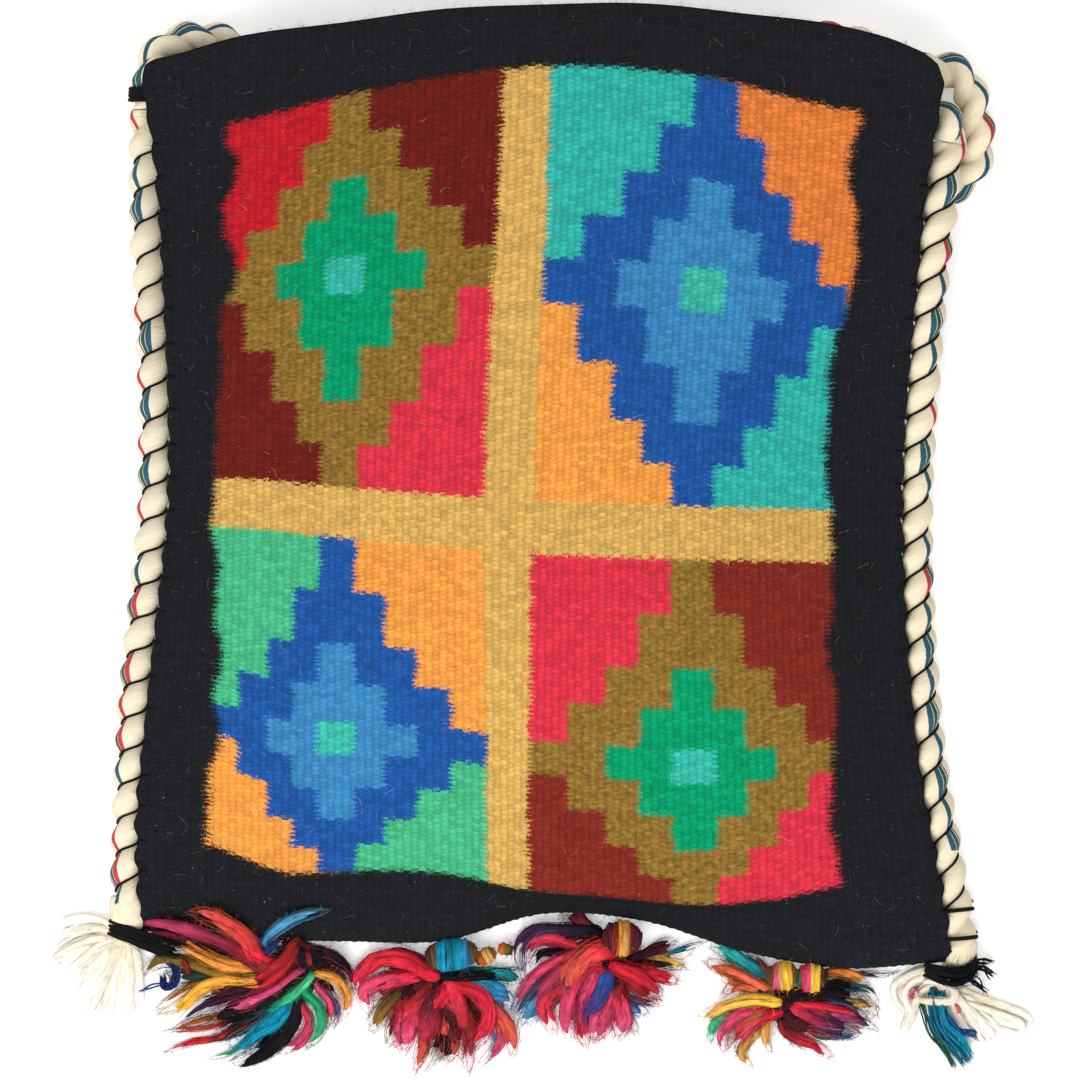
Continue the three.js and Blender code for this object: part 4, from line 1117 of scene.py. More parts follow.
# One row for each roving: its two colours, its width, its level in the pile and its path from the neck;
# widths and paths are in millimetres
tassels = {
    "tassel_1": {"darkShare": 1.0, "neck": (-78.5, -146.9), "rovings": [
        ("ink", "ink", 8, 0.2, [(-14, 2), (-27, 3), (-38, 5)]),
        ("ink", "wine", 8, 0.2, [(-13, -3), (-26, -5), (-38, -8)]),
        ("ink", "ink", 8, 0.2, [(-11, -8), (-23, -13), (-34, -17)]),
        ("ink", "wine", 8, 0.2, [(-6, -10), (-12, -17), (-20, -23)]),
        ("ink", "wine", 7, 0.3, [(-25, 6), (-38, 9.5), (-50, 12), (-57, 13)]),
        ("ink", "forest", 7, 0.3, [(-24, -1), (-36, -1), (-48, -3)]),
        ("ink", "wine", 6, 0.2, [(-14, -14), (-24, -20), (-33, -24)]),
        ("ink", "ink", 5, 1, [(-21.5, 1.5), (-31.5, 7.5), (-39.5, 12.5)]),
        ("ink", "wine", 7, 1, [(-3.5, 4.5), (-11.5, 1.5), (-19.5, -0.5)]),
        ("ink", "wine", 4, 1, [(0.5, 3), (7.5, 3), (13.5, -1.5), (14.5, -6.5)]),
        ("sky", "blue", 3, 1, [(5.5, -8.5), (9, -13.5), (8, -18.5)]),
        ("leaf", "leaf", 2, 0, [(-26.5, -28.5), (-34.5, -31)]),
        ("ink", "ink", 7, 0.6, [(-5.5, -12.5), (-8.5, -20.5), (-15.5, -27.5), (-26.5, -32)]),
        ("forest", "ink", 5, 0.6, [(-15.5, -13.5), (-23.5, -17.5), (-29.5, -19.5)]),
        ("coral", "red", 2.4, 0.3, [(-31.5, -23.5), (-40.5, -25), (-49.5, -28.5)]),
        ("crimson", "coral", 2.4, 0.3, [(-31.5, -19.5), (-41.5, -21), (-50, -21.7)]),
        ("yellow", "rust", 3, 0.6, [(-27.5, -15.5), (-35.5, -17), (-42.5, -19.5), (-47.5, -21.5)]),
        ("wine", "purple", 4, 0.8, [(-17.5, -6.5), (-27.5, -9), (-37.5, -12.5), (-44.5, -17.5)]),
        ("olive", "rust", 3, 1, [(-21.5, -2), (-35.5, -2.5), (-43.5, -7.5), (-52.5, -13.5)]),
        ("olive", "khaki", 5, 1.2, [(-19.5, -2.6), (-31.5, -0.8), (-43.5, 2.6), (-52, 3.4), (-58, -1.5)]),
        ("orange", "orange", 4.5, 2.7, [(-29.5, 1.5), (-37, 5), (-43.5, 8.5), (-47, 10)]),
        ("ink", "navy", 7, 1, [(-20, 4), (-15, 9.5), (-10, 13)]),
        ("ink", "ink", 7, 0.8, [(-8, 5), (-6, 9), (-3, 11.5)]),
        ("petrol", "sky", 3.5, 1.6, [(-15.5, 9.5), (-11.5, 14), (-5.5, 18), (4.5, 20.3)]),
        ("red", "coral", 6, 2, [(-17.5, 2.5), (-22.5, 11.5), (-31.5, 17.5), (-40, 19.7)]),
        ("maroon", "berry", 5.5, 2.2, [(-15.5, 0.5), (-31.5, 10.5), (-46.5, 15), (-58.5, 15.5)]),
        ("orange", "yellow", 4.5, 1.5,
         [(-18.5, -4.5), (-29.5, -4), (-37.5, -6.5), (-44.5, -12.5), (-51.5, -15)]),
        ("berry", "pink", 4.5, 1.8, [(-3.5, -0.5), (-11.5, -6.5), (-21.5, -11.5), (-32.5, -15)]),
        ("turquoise", "turquoise", 7.5, 1.2,
         [(-11.5, -16.5), (-18.5, -21.5), (-23.5, -25.5), (-27.5, -25.5)]),
        ("crimson", "pink", 4, 1.3, [(-3.5, -11.5), (-0.5, -17.5), (-3.5, -24.5), (-10.5, -28.5)]),
        ("pink", "crimson", 3.5, 1.3, [(2.5, -6.5), (7, -11.5), (7, -18.5)]),
        ("orange", "orange", 3.5, 1.8, [(1.5, -1), (8.5, -3), (12.5, -9.5), (10.5, -17.5)]),
        ("green", "leaf", 4.5, 1.7, [(-2.5, -6.5), (2.5, -12.5), (3.5, -19.5), (-1.5, -26.5)]),
        ("leaf", "green", 3.5, 2.3, [(0.5, -1.5), (-5.5, -8.5), (-12.5, -13.5), (-19.5, -18.5)]),
        ("ink", "wine", 6, 2.2, [(4, 5), (-2, 5), (-9, 2), (-16, 1)]),
        ("wine", "ink", 5, 2.2, [(-6, 7), (1, 6), (9, 3), (14, -3)]),
        ("maroon", "red", 5.5, 2.8, [(-4.5, 9.5), (-7.5, 3.5), (-15.5, -3.5), (-22.5, -7.5)])]},
    "tassel_2": {"darkShare": 0.8, "neck": (-33.7, -148.2), "rovings": [
        ("maroon", "crimson", 9, 0.2, [(-6, -6), (-12, -12), (-16, -18)]),
        ("wine", "crimson", 9, 0.2, [(-2, -8), (-3, -16), (-4, -25)]),
        ("crimson", "maroon", 9, 0.2, [(5, -8), (8, -16), (9, -25)]),
        ("maroon", "wine", 8, 0.2, [(-9, -2), (-18, -3), (-23, -8)]),
        ("wine", "crimson", 8, 0.2, [(10, -6), (16, -11), (18, -18)]),
        ("crimson", "coral", 8, 0.3, [(2, -9), (3, -18), (3, -30)]),
        ("red", "pink", 8, 0.3, [(-8, -8), (-12, -16), (-13, -26)]),
        ("ink", "ink", 3.7, 2.4, [(-0.3, -0.7), (9.2, -1.1), (17.4, -0.7), (23.5, 0)]),
        ("teal", "petrol", 4.8, 0.8, [(20.1, -0.7), (25.5, -1.4), (27.6, -2.8)]),
        ("turquoise", "steel", 7.5, 0.8, [(13.3, -4.8), (18.7, -7.5), (24.2, -10.9)]),
        ("turquoise", "sky", 2.7, 0.5, [(18.7, -24.5), (16, -29.3)]),
        ("coral", "pink", 3.4, 0.7, [(18.7, -15.7), (20.1, -23.8), (13.3, -31.3)]),
        ("red", "coral", 4.8, 1, [(17.4, -11.6), (22.8, -18.4), (24.2, -27.9)]),
        ("crimson", "pink", 4, 0.7, [(9.2, -21.1), (9.2, -27.9), (9.2, -34)]),
        ("sky", "white", 2.7, 0.3, [(-0.3, -27.9), (-5.1, -34)]),
        ("wine", "ink", 7.5, 0.6, [(3.8, -15.7), (2.4, -21.8), (-2.3, -27.9)]),
        ("crimson", "coral", 4.4, 1,
         [(-1.7, -4.1), (-7.1, -6.8), (-7.8, -14.3), (-5.7, -21.1), (-9.1, -33.4)]),
        ("red", "crimson", 3.4, 1, [(-11.9, -10.2), (-10.5, -15.7), (-11.9, -21.1), (-16.6, -25.2)]),
        ("ink", "wine", 3.4, 1, [(-11.2, -6.8), (-14.6, -13), (-18, -19.8), (-18.7, -23.8)]),
        ("ink", "olive", 5.4, 0.9, [(-7.1, -3.4), (-13.9, -6.2), (-19.3, -11.6), (-24.1, -19.8)]),
        ("crimson", "pink", 5.4, 1.4, [(-8.5, -1.4), (-19.3, -2.8), (-26.8, -6.2), (-24.8, -13)]),
        ("red", "crimson", 6.8, 1.6,
         [(-2.3, -0.7), (-11.9, 4.4), (-20.7, 5.4), (-28.2, -0.7), (-29.2, -6.2)]),
        ("wine", "purple", 2.4, 2.2, [(-1.7, -2.8), (-10.5, 0), (-18.7, 2), (-23.4, 0)]),
        ("red", "crimson", 6, 1.6, [(1.1, -6.2), (-2.3, -11.6), (-4.4, -18.4)]),
        ("ink", "wine", 4, 1.5, [(2.4, -7.5), (9.2, -10.2), (13.3, -14.3), (10.6, -18.4)]),
        ("wine", "pink", 2.7, 2.2, [(-1, -4.8), (3.8, -13), (9.2, -21.1)]),
        ("red", "crimson", 4.8, 2.2, [(6.5, -4.8), (13.3, -6.8), (16.7, -13), (14.7, -20.4), (9.2, -26.6)])]},
    "tassel_3": {"darkShare": 0.8, "neck": (24.1, -144.5), "rovings": [
        ("crimson", "berry", 9, 0.2, [(-5, -6), (-9, -14), (-10, -22)]),
        ("maroon", "crimson", 9, 0.2, [(2, -8), (3, -15), (3, -21)]),
        ("wine", "berry", 9, 0.2, [(-12, -2), (-20, -8), (-25, -15)]),
        ("crimson", "wine", 8, 0.2, [(7, -5), (12, -9), (15, -12)]),
        ("crimson", "pink", 8, 0.3, [(-3, -8), (-5, -16), (-6, -26)]),
        ("turquoise", "petrol", 1.9, 0.8, [(20.2, 2.9), (26.1, 4.7), (31.3, 6.2)]),
        ("gold", "yellow", 2.5, 1, [(18, 1.4), (24.7, -0.8), (27.6, 2.1)]),
        ("ink", "ink", 3, 0.9, [(7.7, -0.8), (16.5, -0.8), (24.7, -2.3)]),
        ("ink", "wine", 3.7, 1.2, [(4.7, 0.7), (12.1, 2.9), (18, 5.8), (21.7, 7.3)]),
        ("grey", "forest", 2.5, 0.6, [(6.2, -11.9), (16.5, -14.9)]),
        ("blue", "steel", 4.4, 0.7, [(4.7, -12.6), (9.9, -16.3), (12.1, -17.8)]),
        ("olive", "khaki", 3, 0.4, [(6.2, -19.3), (8.4, -23.7)]),
        ("crimson", "pink", 7.4, 0.7, [(2.5, -12.6), (4, -19.3), (2.5, -25.2)]),
        ("crimson", "pink", 6.6, 0.9, [(1.8, -10.4), (-1.2, -17.8), (-4.9, -26.7)]),
        ("turquoise", "sky", 6, 0.4, [(-27.1, -17.1), (-30, -21.5)]),
        ("maroon", "crimson", 6.6, 0.8, [(-19.7, -10.4), (-22.6, -14.9), (-20, -23)]),
        ("purple", "petrol", 4, 0.8, [(-11.5, 0.7), (-18.9, -3), (-27.1, -11.2), (-33, -20.8)]),
        ("crimson", "pink", 4.4, 1.1, [(-11.5, 2.9), (-18.9, -0.1), (-27.8, -6.7), (-33.3, -16.3)]),
        ("ink", "ink", 3.7, 1.1, [(-16.7, 2.9), (-24.1, 2.9), (-26.3, -2.3)]),
        ("crimson", "berry", 4.4, 1.5, [(-11.5, 5.1), (-20.4, 8.1), (-27.1, 6.6), (-30, -1.5)]),
        ("maroon", "wine", 6, 1.4, [(-10.1, 14), (-13, 16.2), (-16, 15.4)]),
        ("ink", "purple", 5.2, 1.7, [(-5.6, 10.3), (-15.2, 11), (-26.3, 11), (-31.5, 5.1), (-30.8, -2.3)]),
        ("purple", "blue", 2.2, 2, [(-27.8, 7.3), (-30, 2.9), (-29.3, -2.3)]),
        ("red", "crimson", 5.2, 1.3, [(3.2, -2.3), (13.6, -3.8), (22.5, -6.7)]),
        ("red", "crimson", 6.6, 1.6, [(-0.5, -0.8), (6.2, -3.8), (12.1, -7.5), (17.3, -12.6)]),
        ("pink", "crimson", 5.2, 1.4, [(-5.6, -3.8), (-9.3, -11.2), (-10.1, -19.3), (-8.6, -28.2)]),
        ("crimson", "pink", 6.6, 1.5, [(-7.1, -1.5), (-12.3, -8.9), (-14.5, -17.8), (-13, -25.9)]),
        ("red", "coral", 8.8, 2.1, [(-1.2, 4.4), (-7.8, 2.9), (-12.3, -2.3), (-16, -9.7)]),
        ("blue", "purple", 5.5, 2.3, [(-1.2, -5.2), (-4.1, -11.9), (-8.6, -17.1), (-10.1, -23.7)])]},
    "tassel_4": {"darkShare": 0.3, "neck": (84.0, -157.5), "rovings": [
        ("crimson", "purple", 8, 0.2, [(6, -5), (14, -8), (22, -10)]),
        ("olive", "crimson", 7, 0.2, [(-8, -5), (-14, -9), (-18, -13)]),
        ("wine", "ink", 7, 0.2, [(10, 2), (18, 2), (24, -1)]),
        ("rust", "orange", 7, 0.2, [(-10, 5), (-16, 8), (-21, 10)]),
        ("wine", "purple", 2.1, 0.8, [(25.9, 8.9), (33, 7.8), (37.2, 8.9)]),
        ("leaf", "forest", 1, 0.4, [(10.3, -12.7), (20.2, -13.4)]),
        ("maroon", "crimson", 3.9, 0.6, [(-1, -9.2), (3.2, -12.7), (10.3, -15.6), (15.3, -19.8)]),
        ("blue", "sky", 2, 0.5, [(20.2, -13.4), (25.2, -12)]),
        ("purple", "blue", 3.5, 0.8, [(6.1, -6.4), (14.6, -8.5), (21.7, -12)]),
        ("red", "coral", 2.8, 0.9, [(4, -8.5), (10.3, -10.6), (18.8, -11.3)]),
        ("pink", "purple", 4.2, 1, [(18.8, -5.6), (25.9, -7.8), (30.2, -9.9)]),
        ("gold", "olive", 4.2, 0.8, [(24.5, -1.4), (30.2, -2.8), (30.9, -5.6)]),
        ("petrol", "forest", 2.8, 1, [(25.2, 4.3), (30.2, 2.1), (31.6, -2.1)]),
        ("gold", "yellow", 1.8, 1, [(23.1, 5), (27.3, 4.6)]),
        ("rust", "orange", 3.5, 1.1, [(14.6, 9.2), (22.4, 8.5), (28, 5.7)]),
        ("ink", "ink", 5.7, 1.2, [(1.8, 0), (8.9, 3.6), (18.1, 4.3), (25.9, 0.7)]),
        ("blue", "navy", 2.8, 1.3, [(16, 0), (22.4, -2.1), (27.3, -6.4)]),
        ("blue", "purple", 3.2, 1.5, [(2.5, -3.5), (9.6, -4.9), (18.1, -7.1), (23.8, -10.6)]),
        ("red", "crimson", 2.8, 2, [(2.5, -1.4), (9.6, -1.4), (17.4, -2.8), (23.8, -5.6), (24.5, -9.9)]),
        ("orange", "gold", 3.5, 1, [(-6, -5.6), (-6.7, -12), (-5.2, -17.7)]),
        ("yellow", "gold", 3.5, 0.5, [(-15.2, -18.4), (-12.3, -22.6)]),
        ("leaf", "cream", 3.2, 0.8, [(-13, -6.4), (-17.3, -10.6), (-19.4, -15.6)]),
        ("green", "leaf", 3.9, 0.6, [(-22.9, -7.1), (-24.7, -10.6), (-25.4, -14.1)]),
        ("crimson", "pink", 3.9, 1.2, [(-8.1, -3.5), (-15.9, -5.6), (-21.5, -12), (-20.8, -17.7)]),
        ("red", "pink", 4.2, 1.4, [(-1, -3.5), (-8.1, -6.4), (-14.5, -12), (-16.6, -17.7)]),
        ("petrol", "teal", 5, 1, [(-10.2, 10.6), (-15.2, 13.5), (-20.8, 17), (-25.1, 18.4)]),
        ("rust", "red", 3.5, 1.2, [(-8.1, 11.3), (-11.6, 14.9)]),
        ("coral", "rust", 4.6, 1.3, [(-8.8, 5), (-15.2, 8.5), (-22.2, 11.3), (-26.5, 13.1)]),
        ("orange", "coral", 3.9, 1.4, [(-9.5, 3.6), (-15.9, 5.7), (-20.8, 2.1)]),
        ("ink", "olive", 2.8, 1.6, [(-2.4, 0.7), (-8.1, 2.9), (-13, 2.9)]),
        ("yellow", "straw", 4.2, 2.1,
         [(-1.7, -0.7), (-9.5, 0.4), (-18.7, -1.4), (-25.8, -4.9), (-29.3, -5.6)])]},
}
neckFill = {"width": 6 * mm, "level": 0.5, "routes": [
    [(-8, 3), (0, 2), (8, 3)], [(-7, -2), (0, -1.5), (7, -2)], [(-5, 6), (0, 0), (5, 6)]]}
darkWoolAndGapShade = {"wander": 1.2, "level": 0.6, "length": 0.65, "fuzzPerMm": 4}  # dark wool under the bright rovings: dark yarn of the tassel, and painted shade in the gaps between rovings
for name, tassel in tassels.items():
    pile = YarnPile()
    others = [row[0] for row in tassel["rovings"]]
    others += ["ink", "wine"] * int(tassel["darkShare"] * len(others))
    for route in neckFill["routes"]:
        line = layWool(moved(route, *tassel["neck"]), neckFill["level"], neckFill["width"], loose["step"])
        addRoving(pile, line, neckFill["width"], tintRun("ink", "wine", len(line)),
                  hairs=20, flare=0.8, fuzz=30, strands=4)
    for i, (first, second, width, level, route) in enumerate(tassel["rovings"]):
        startX, startY = route[0]
        inNeck = (loose["neckShare"] * startX, loose["neckShare"] * startY)
        places = moved([inNeck, *route], *tassel["neck"])
        climb = (1 - loose["neckShare"]) * math.hypot(startX, startY) * mm
        # Two rovings in three lie on a shorter dark roving, partly dark yarn and partly painted shade between
        # them
        if i % 3 < 2:
            nearby = jittered(places, darkWoolAndGapShade["wander"], darkWoolAndGapShade["wander"])
            line = layWool(nearby, darkWoolAndGapShade["level"] * level, width * mm, loose["step"], climb)
            line = line[:max(5, int(darkWoolAndGapShade["length"] * len(line)))]
            addRoving(pile, line, width * mm, tintRun("ink", "wine", len(line)), hairs=12, flare=0.4,
                      fuzz=int(darkWoolAndGapShade["fuzzPerMm"] * width), strands=3)
        line = layWool(places, level, width * mm, loose["step"], climb)
        hairCount, fuzzCount = int(8 + width * loose["hairsPerMm"]), int(width * loose["fuzzPerMm"])
        addRoving(pile, line, width * mm, tintRun(first, second, len(line)), hairCount, fuzz=fuzzCount,
                  others=others, strands=2 + int(width * loose["strandsPerMm"]))
    settle(pile.build(name + "_locks", tasselWool), "tassel_wool", name + "_skirt")


# Wound heads: turns of yarn side by side round a short bobbin, in bands of colour
winding = {"yarn": 1.5 * mm, "points": 22, "roundness": 0.88, "fuzz": 22, "tones": (0.82, 1.15)}


def windHead(pile, centre, radius, halfLength, degrees, bands):
    yarn, points = winding["yarn"], winding["points"]
    turns = [colour for colour, count in bands for _ in range(count)]
    axis = np.array([math.cos(math.radians(degrees)), math.sin(math.radians(degrees)), 0])
    other = np.array([-axis[1], axis[0], 0])
    angles = np.linspace(0, 2 * np.pi, points)
    for i, colour in enumerate(turns):
        place = (i + 0.5) / len(turns) * 2 - 1
        profile = radius * math.sqrt(1 - winding["roundness"] * place * place)
        size = max(profile - yarn * draw.uniform(0.35, 0.65), yarn * 0.6)
        slant = np.outer(np.sin(angles + draw.uniform(0, 6)) * draw.normal(0, 0.08) * size, axis)
        line = np.array(centre) + axis * (place * halfLength) + np.outer(np.cos(angles) * size, other) + slant
        line[:, 2] += np.sin(angles) * size
        tint = toned(np.array(wool[colour]), *winding["tones"])
        pile.tube(line, yarn / 2 * draw.uniform(0.85, 1.15), np.minimum(tint, 1), sides=7)
        outwards = (line - centre - axis * (place * halfLength)) / size
        addFuzz(pile, line, np.broadcast_to(axis, line.shape), outwards, np.full(points, yarn / 2),
                np.tile(tint, (points, 1)), winding["fuzz"])


# Each head: places from its tassel's neck in millimetres, half its size, the turn of its axis and its bands
heads = {
    "tassel_1": [((-2, 4.5, 6), 4, 4.5, 10, [("wine", 4), ("ink", 4), ("maroon", 3), ("ink", 4)])],
    "tassel_2": [((3.4, 6.4, 7), 5.8, 8.6, 6,
                  [("umber", 3), ("brown", 2), ("turquoise", 5), ("petrol", 3), ("turquoise", 4),
                   ("steel", 2), ("petrol", 2), ("brown", 3)]),
                 ((15.2, 5.7, 5), 3, 3.6, 30, [("umber", 1), ("rust", 2), ("gold", 3), ("khaki", 2)]),
                 ((21.8, 8.1, 5), 2.4, 2.4, -10, [("rust", 2), ("khaki", 2), ("umber", 1)])],
    "tassel_3": [((4, 8.4, 8), 6.3, 6.3, -4,
                  [("wine", 5), ("maroon", 2), ("rust", 1), ("orange", 2), ("gold", 2), ("rust", 1),
                   ("maroon", 1), ("wine", 5)])],
    "tassel_4": [((-1, 8.5, 7), 5.2, 5, 4,
                  [("brown", 3), ("pink", 2), ("gold", 2), ("yellow", 4), ("khaki", 3)]),
                 ((8.9, 7.8, 7), 5.2, 5, -4,
                  [("forest", 2), ("crimson", 2), ("pink", 2), ("yellow", 4), ("umber", 3)])],
}
for name, wound in heads.items():
    pile = YarnPile()
    neckX, neckY = tassels[name]["neck"]
    for (x, y, z), radius, halfLength, degrees, bands in wound:
        ground = underneath(np.array(x + neckX) * mm, np.array(y + neckY) * mm) / mm
        centre = np.array([x + neckX, y + neckY, z + ground * 0.5]) * mm
        windHead(pile, centre, radius * mm, halfLength * mm, degrees, bands)
    settle(pile.build(name + "_head_wound", tasselWool), "tassel_wool", name + "_head")


# Rope ends: black yarn bound round them, then the rope's own strands; places in millimetres
binding = {"yarnRadius": 0.75 * mm, "sunk": 0.3 * mm, "overFloor": 0.6 * mm, "pointsPerTurn": 20}


def bindRope(pile, line, at, turns, width):  # turns of black yarn round the rope
    sideways, ups = ropeFrames(line)
    run = lengths(line)
    angles = np.linspace(0, 2 * np.pi * turns, int(binding["pointsPerTurn"] * turns))
    places = at + width * (angles / angles[-1] - 0.5)
    centre, side, up = (readAt(places, run, rows) for rows in (line, sideways, ups))
    path = roundLine(centre, side, up, angles, rope["diameter"] / 2 - binding["sunk"])
    path[:, 2] = np.maximum(path[:, 2], binding["overFloor"])
    pile.tube(path, binding["yarnRadius"], wool["ink"], sides=7)


ropeEnds = {
    "left": {
        "line": np.vstack([leftLine, strapLine[:30]]), "binds": [(280, 4, 4.5)], "ring": [],
        "band": [(-147, -132.5), (-141, -134.5), (-134, -137), (-124, -140.5)],
        "bandYarns": 8, "bandHairs": 14,
        "bulb": [(-141.2, -121), (-140.6, -126.5), (-140.4, -133)], "bulbWidth": 13.5,
        "from": [(-143, -134), (-141, -137)], "level": 0.7, "strand": 2.5,
        "strands": [
            [(-149, -131.5), (-155, -129.9), (-164, -131.4)], [(-150, -133.5), (-157, -133), (-164, -135.4)],
            [(-150, -135.5), (-158, -137), (-165.5, -141.4)], [(-150, -137), (-159, -140), (-166.5, -144.9)],
            [(-149, -137), (-157, -141), (-164, -146.4)], [(-148, -138), (-155, -143), (-161, -148)],
            [(-147, -139), (-152, -144), (-157, -150.4)], [(-146, -140), (-152, -147), (-158, -155.4)],
            [(-145, -140), (-151, -149), (-157, -158.4)], [(-144, -140), (-149, -150), (-154, -161.4)],
            [(-143, -141), (-146, -151), (-149, -163.4)], [(-142, -141), (-143, -152), (-145, -164.4)],
            [(-140, -142), (-140, -151), (-141, -162.4)], [(-138, -142), (-137, -150), (-137, -159.4)],
            [(-145, -139), (-148, -146), (-152, -153)], [(-147, -136), (-153, -138), (-160, -140)],
            [(-142, -142), (-145, -148), (-147, -157)]],
        "threads": [
            ("navy", 0.8, 1.6, [(-128.5, -144.5), (-125.3, -146), (-124.2, -149.5), (-125.8, -152.8),
                                (-128.8, -153), (-129.5, -149.5)], 14),
            ("blue", 0.6, 1, [(-128, -152), (-133, -153.4), (-137, -154.9), (-143, -157.4)], 2),
            ("maroon", 1.6, 2, [(-122.5, -144), (-120.5, -146), (-120.3, -149)], 4),
            ("white", 0.8, 2.2, [(-128, -148), (-127, -150), (-128, -151.5)], 2)],
    },
    "right": {
        "line": rightLine, "binds": [(4, 1, 1.5), (14, 1, 2.5)],
        "ring": [(131, -151.1), (136.6, -150.5), (141.6, -153.6), (140.9, -157.3), (134.8, -157.9),
                 (129.8, -157.3), (128.6, -154)],
        "band": [(131.7, -146.8), (136, -148), (141.6, -149.3), (147.1, -147.4), (149, -145)],
        "bandYarns": 8, "bandHairs": 40,
        "bulb": [(144.5, -136), (144, -141), (143, -146.5)], "bulbWidth": 11,
        "from": [(139, -146), (138, -150)], "level": 0.8, "strand": 2.4,
        "strands": [
            [(143.4, -158.6), (148.4, -163.5), (154.5, -170.9)], [(142, -157), (148, -160.5), (156, -166)],
            [(142, -159), (146, -165), (151, -172)], [(141, -159), (144.5, -166), (147, -174.6)],
            [(143, -156), (150, -161), (158, -168)], [(140, -158), (143, -165), (145, -171)],
            [(141, -156), (147, -158), (152, -163)], [(139, -157), (140.5, -163), (143, -169)],
            [(131, -156), (128, -162.3), (126.1, -167.2), (125.2, -170.3)],
            [(131, -148), (124.9, -151.1), (122.4, -154.2), (124.3, -159.2), (127.3, -162.3)],
            [(133, -149), (127, -152), (125, -155.5), (126.5, -160), (128.5, -163)],
            [(132, -147.5), (125.5, -149.5), (121, -153), (122, -158), (125, -161.5)],
            [(143.4, -153.6), (152.1, -157.3), (161.3, -160.4), (166.4, -162.9), (166.4, -166),
             (161.3, -165.4), (153.3, -161.6)]],
        "threads": [
            ("pink", 0.9, 2, [(128.4, -153.2), (127, -155), (128.2, -157)], 2),
            ("petrol", 1.4, 1.5, [(133, -153.5), (135.4, -155), (138.5, -154)], 8),
            ("petrol", 0.9, 1.8, [(132.6, -157), (135.4, -167), (140, -173.6), (144.4, -179.8)], 9),
            ("petrol", 0.9, 2.4, [(134.3, -153.8), (136.6, -166), (142.2, -172.2), (146.5, -179)], 13),
            ("turquoise", 0.8, 2.6, [(137.3, -153.8), (138.6, -165), (144.2, -171.2), (148, -177)], 8),
            ("forest", 0.9, 1.6, [(130.4, -159), (134.8, -168.4), (138.5, -174.6), (142.2, -180.2)], 9),
            ("royal", 0.8, 2.6, [(138, -160), (143.4, -168.4), (148.4, -169.1), (149, -170.9)], 5),
            ("coral", 1.1, 1.6, [(141.6, -158.6), (143.4, -161.6), (140.9, -162.9)], 2),
            ("ink", 0.5, 3, [(146, -146.5), (151, -146), (155.5, -149.6)], 7),
            ("ink", 0.5, 3, [(147, -145.5), (150.5, -143.5), (154.7, -145)], 6),
            ("ink", 0.5, 2, [(145, -148.5), (149, -151), (153, -154.7)], 6)],
    },
}
endLook = {  # how both ends are laid
    "bandSpread": 4.5, "bandWander": 0.4, "bandWidth": 1.5 * mm, "bandYarn": 1.3 * mm,
    "bandHeight": 11.5 * mm, "bandSag": 3.5 * mm,
    "bulbHeight": 6.3 * mm, "strandCopies": 3, "strandHeight": 6.5 * mm, "strandDrop": 13 * mm,
    "ringWidth": 2.6 * mm, "ringLevel": 3.6, "threadWander": 0.7,
}
for side, end in ropeEnds.items():
    pile = YarnPile()
    for at, turns, width in end["binds"]:
        bindRope(pile, end["line"], at * mm, turns, width * mm)
    for n in range(end["bandYarns"]):
        shift = (n / (end["bandYarns"] - 1) - 0.5) * endLook["bandSpread"]
        places = jittered(moved(end["band"], 0, -shift), endLook["bandWander"], endLook["bandWander"])
        line = layWool(places, 0, endLook["bandYarn"], loose["fineStep"])
        height = np.maximum(line[:, 2], endLook["bandHeight"] + draw.normal(0, 0.5) * mm)
        line[:, 2] = height - endLook["bandSag"] * np.linspace(-1, 1, len(line)) ** 4
        addRoving(pile, line, endLook["bandWidth"], tintRun("ink", "ink", len(line)),
                  end["bandHairs"], flare=3.0)
    settle(pile.build(side + "_end_wrap", blackYarn), "black_yarn", side + "_rope_wrap")
    pile = YarnPile()
    # The rope's last turn, its fibres spread
    line = layWool(end["bulb"], 0, end["bulbWidth"] * mm, loose["fineStep"])
    line[:, 2] = endLook["bulbHeight"]
    swell = np.sqrt(1 - np.linspace(-0.75, 0.85, len(line)) ** 4)
    pile.tube(line, end["bulbWidth"] / 2 * mm * swell, wool["cream"], sides=24, flatness=0.95)
    for route in end["strands"] * endLook["strandCopies"]:
        start = jittered(end["from"], 1.0, 0.6)
        places = [*start, *moved(route, *draw.normal(0, 0.9, 2))]
        line = layWool(places, end["level"] * draw.uniform(0.2, 1.8), end["strand"] * mm, loose["fineStep"])
        drop = np.clip(1 - lengths(line) / endLook["strandDrop"], 0, 1)
        line[:, 2] = np.maximum(line[:, 2], blend(line[:, 2], endLook["strandHeight"], drop))
        width = end["strand"] * draw.uniform(0.85, 1.15) * mm
        addRoving(pile, line, width, tintRun("cream", "white", len(line)), hairs=7, fuzz=8, blunt=True)
    if end["ring"]:
        line = layWool(end["ring"], endLook["ringLevel"], endLook["ringWidth"], loose["fineStep"])
        addRoving(pile, line, endLook["ringWidth"], tintRun("white", "cream", len(line)), hairs=12, flare=0.4)
    settle(pile.build(side + "_fringe", fringeWool), "rope_wool", side + "_rope_tassel")
    pile = YarnPile()
    for colour, width, level, route, count in end["threads"]:
        for _ in range(count):
            places = jittered(route, endLook["threadWander"], endLook["threadWander"])
            line = layWool(places, level * draw.uniform(0.6, 1.5), width * mm, loose["fineStep"])
            addRoving(pile, line, width * mm, tintRun(colour, colour, len(line)), hairs=4, flare=1.0)
    settle(pile.build(side + "_loose_threads", tasselWool), "tassel_wool")

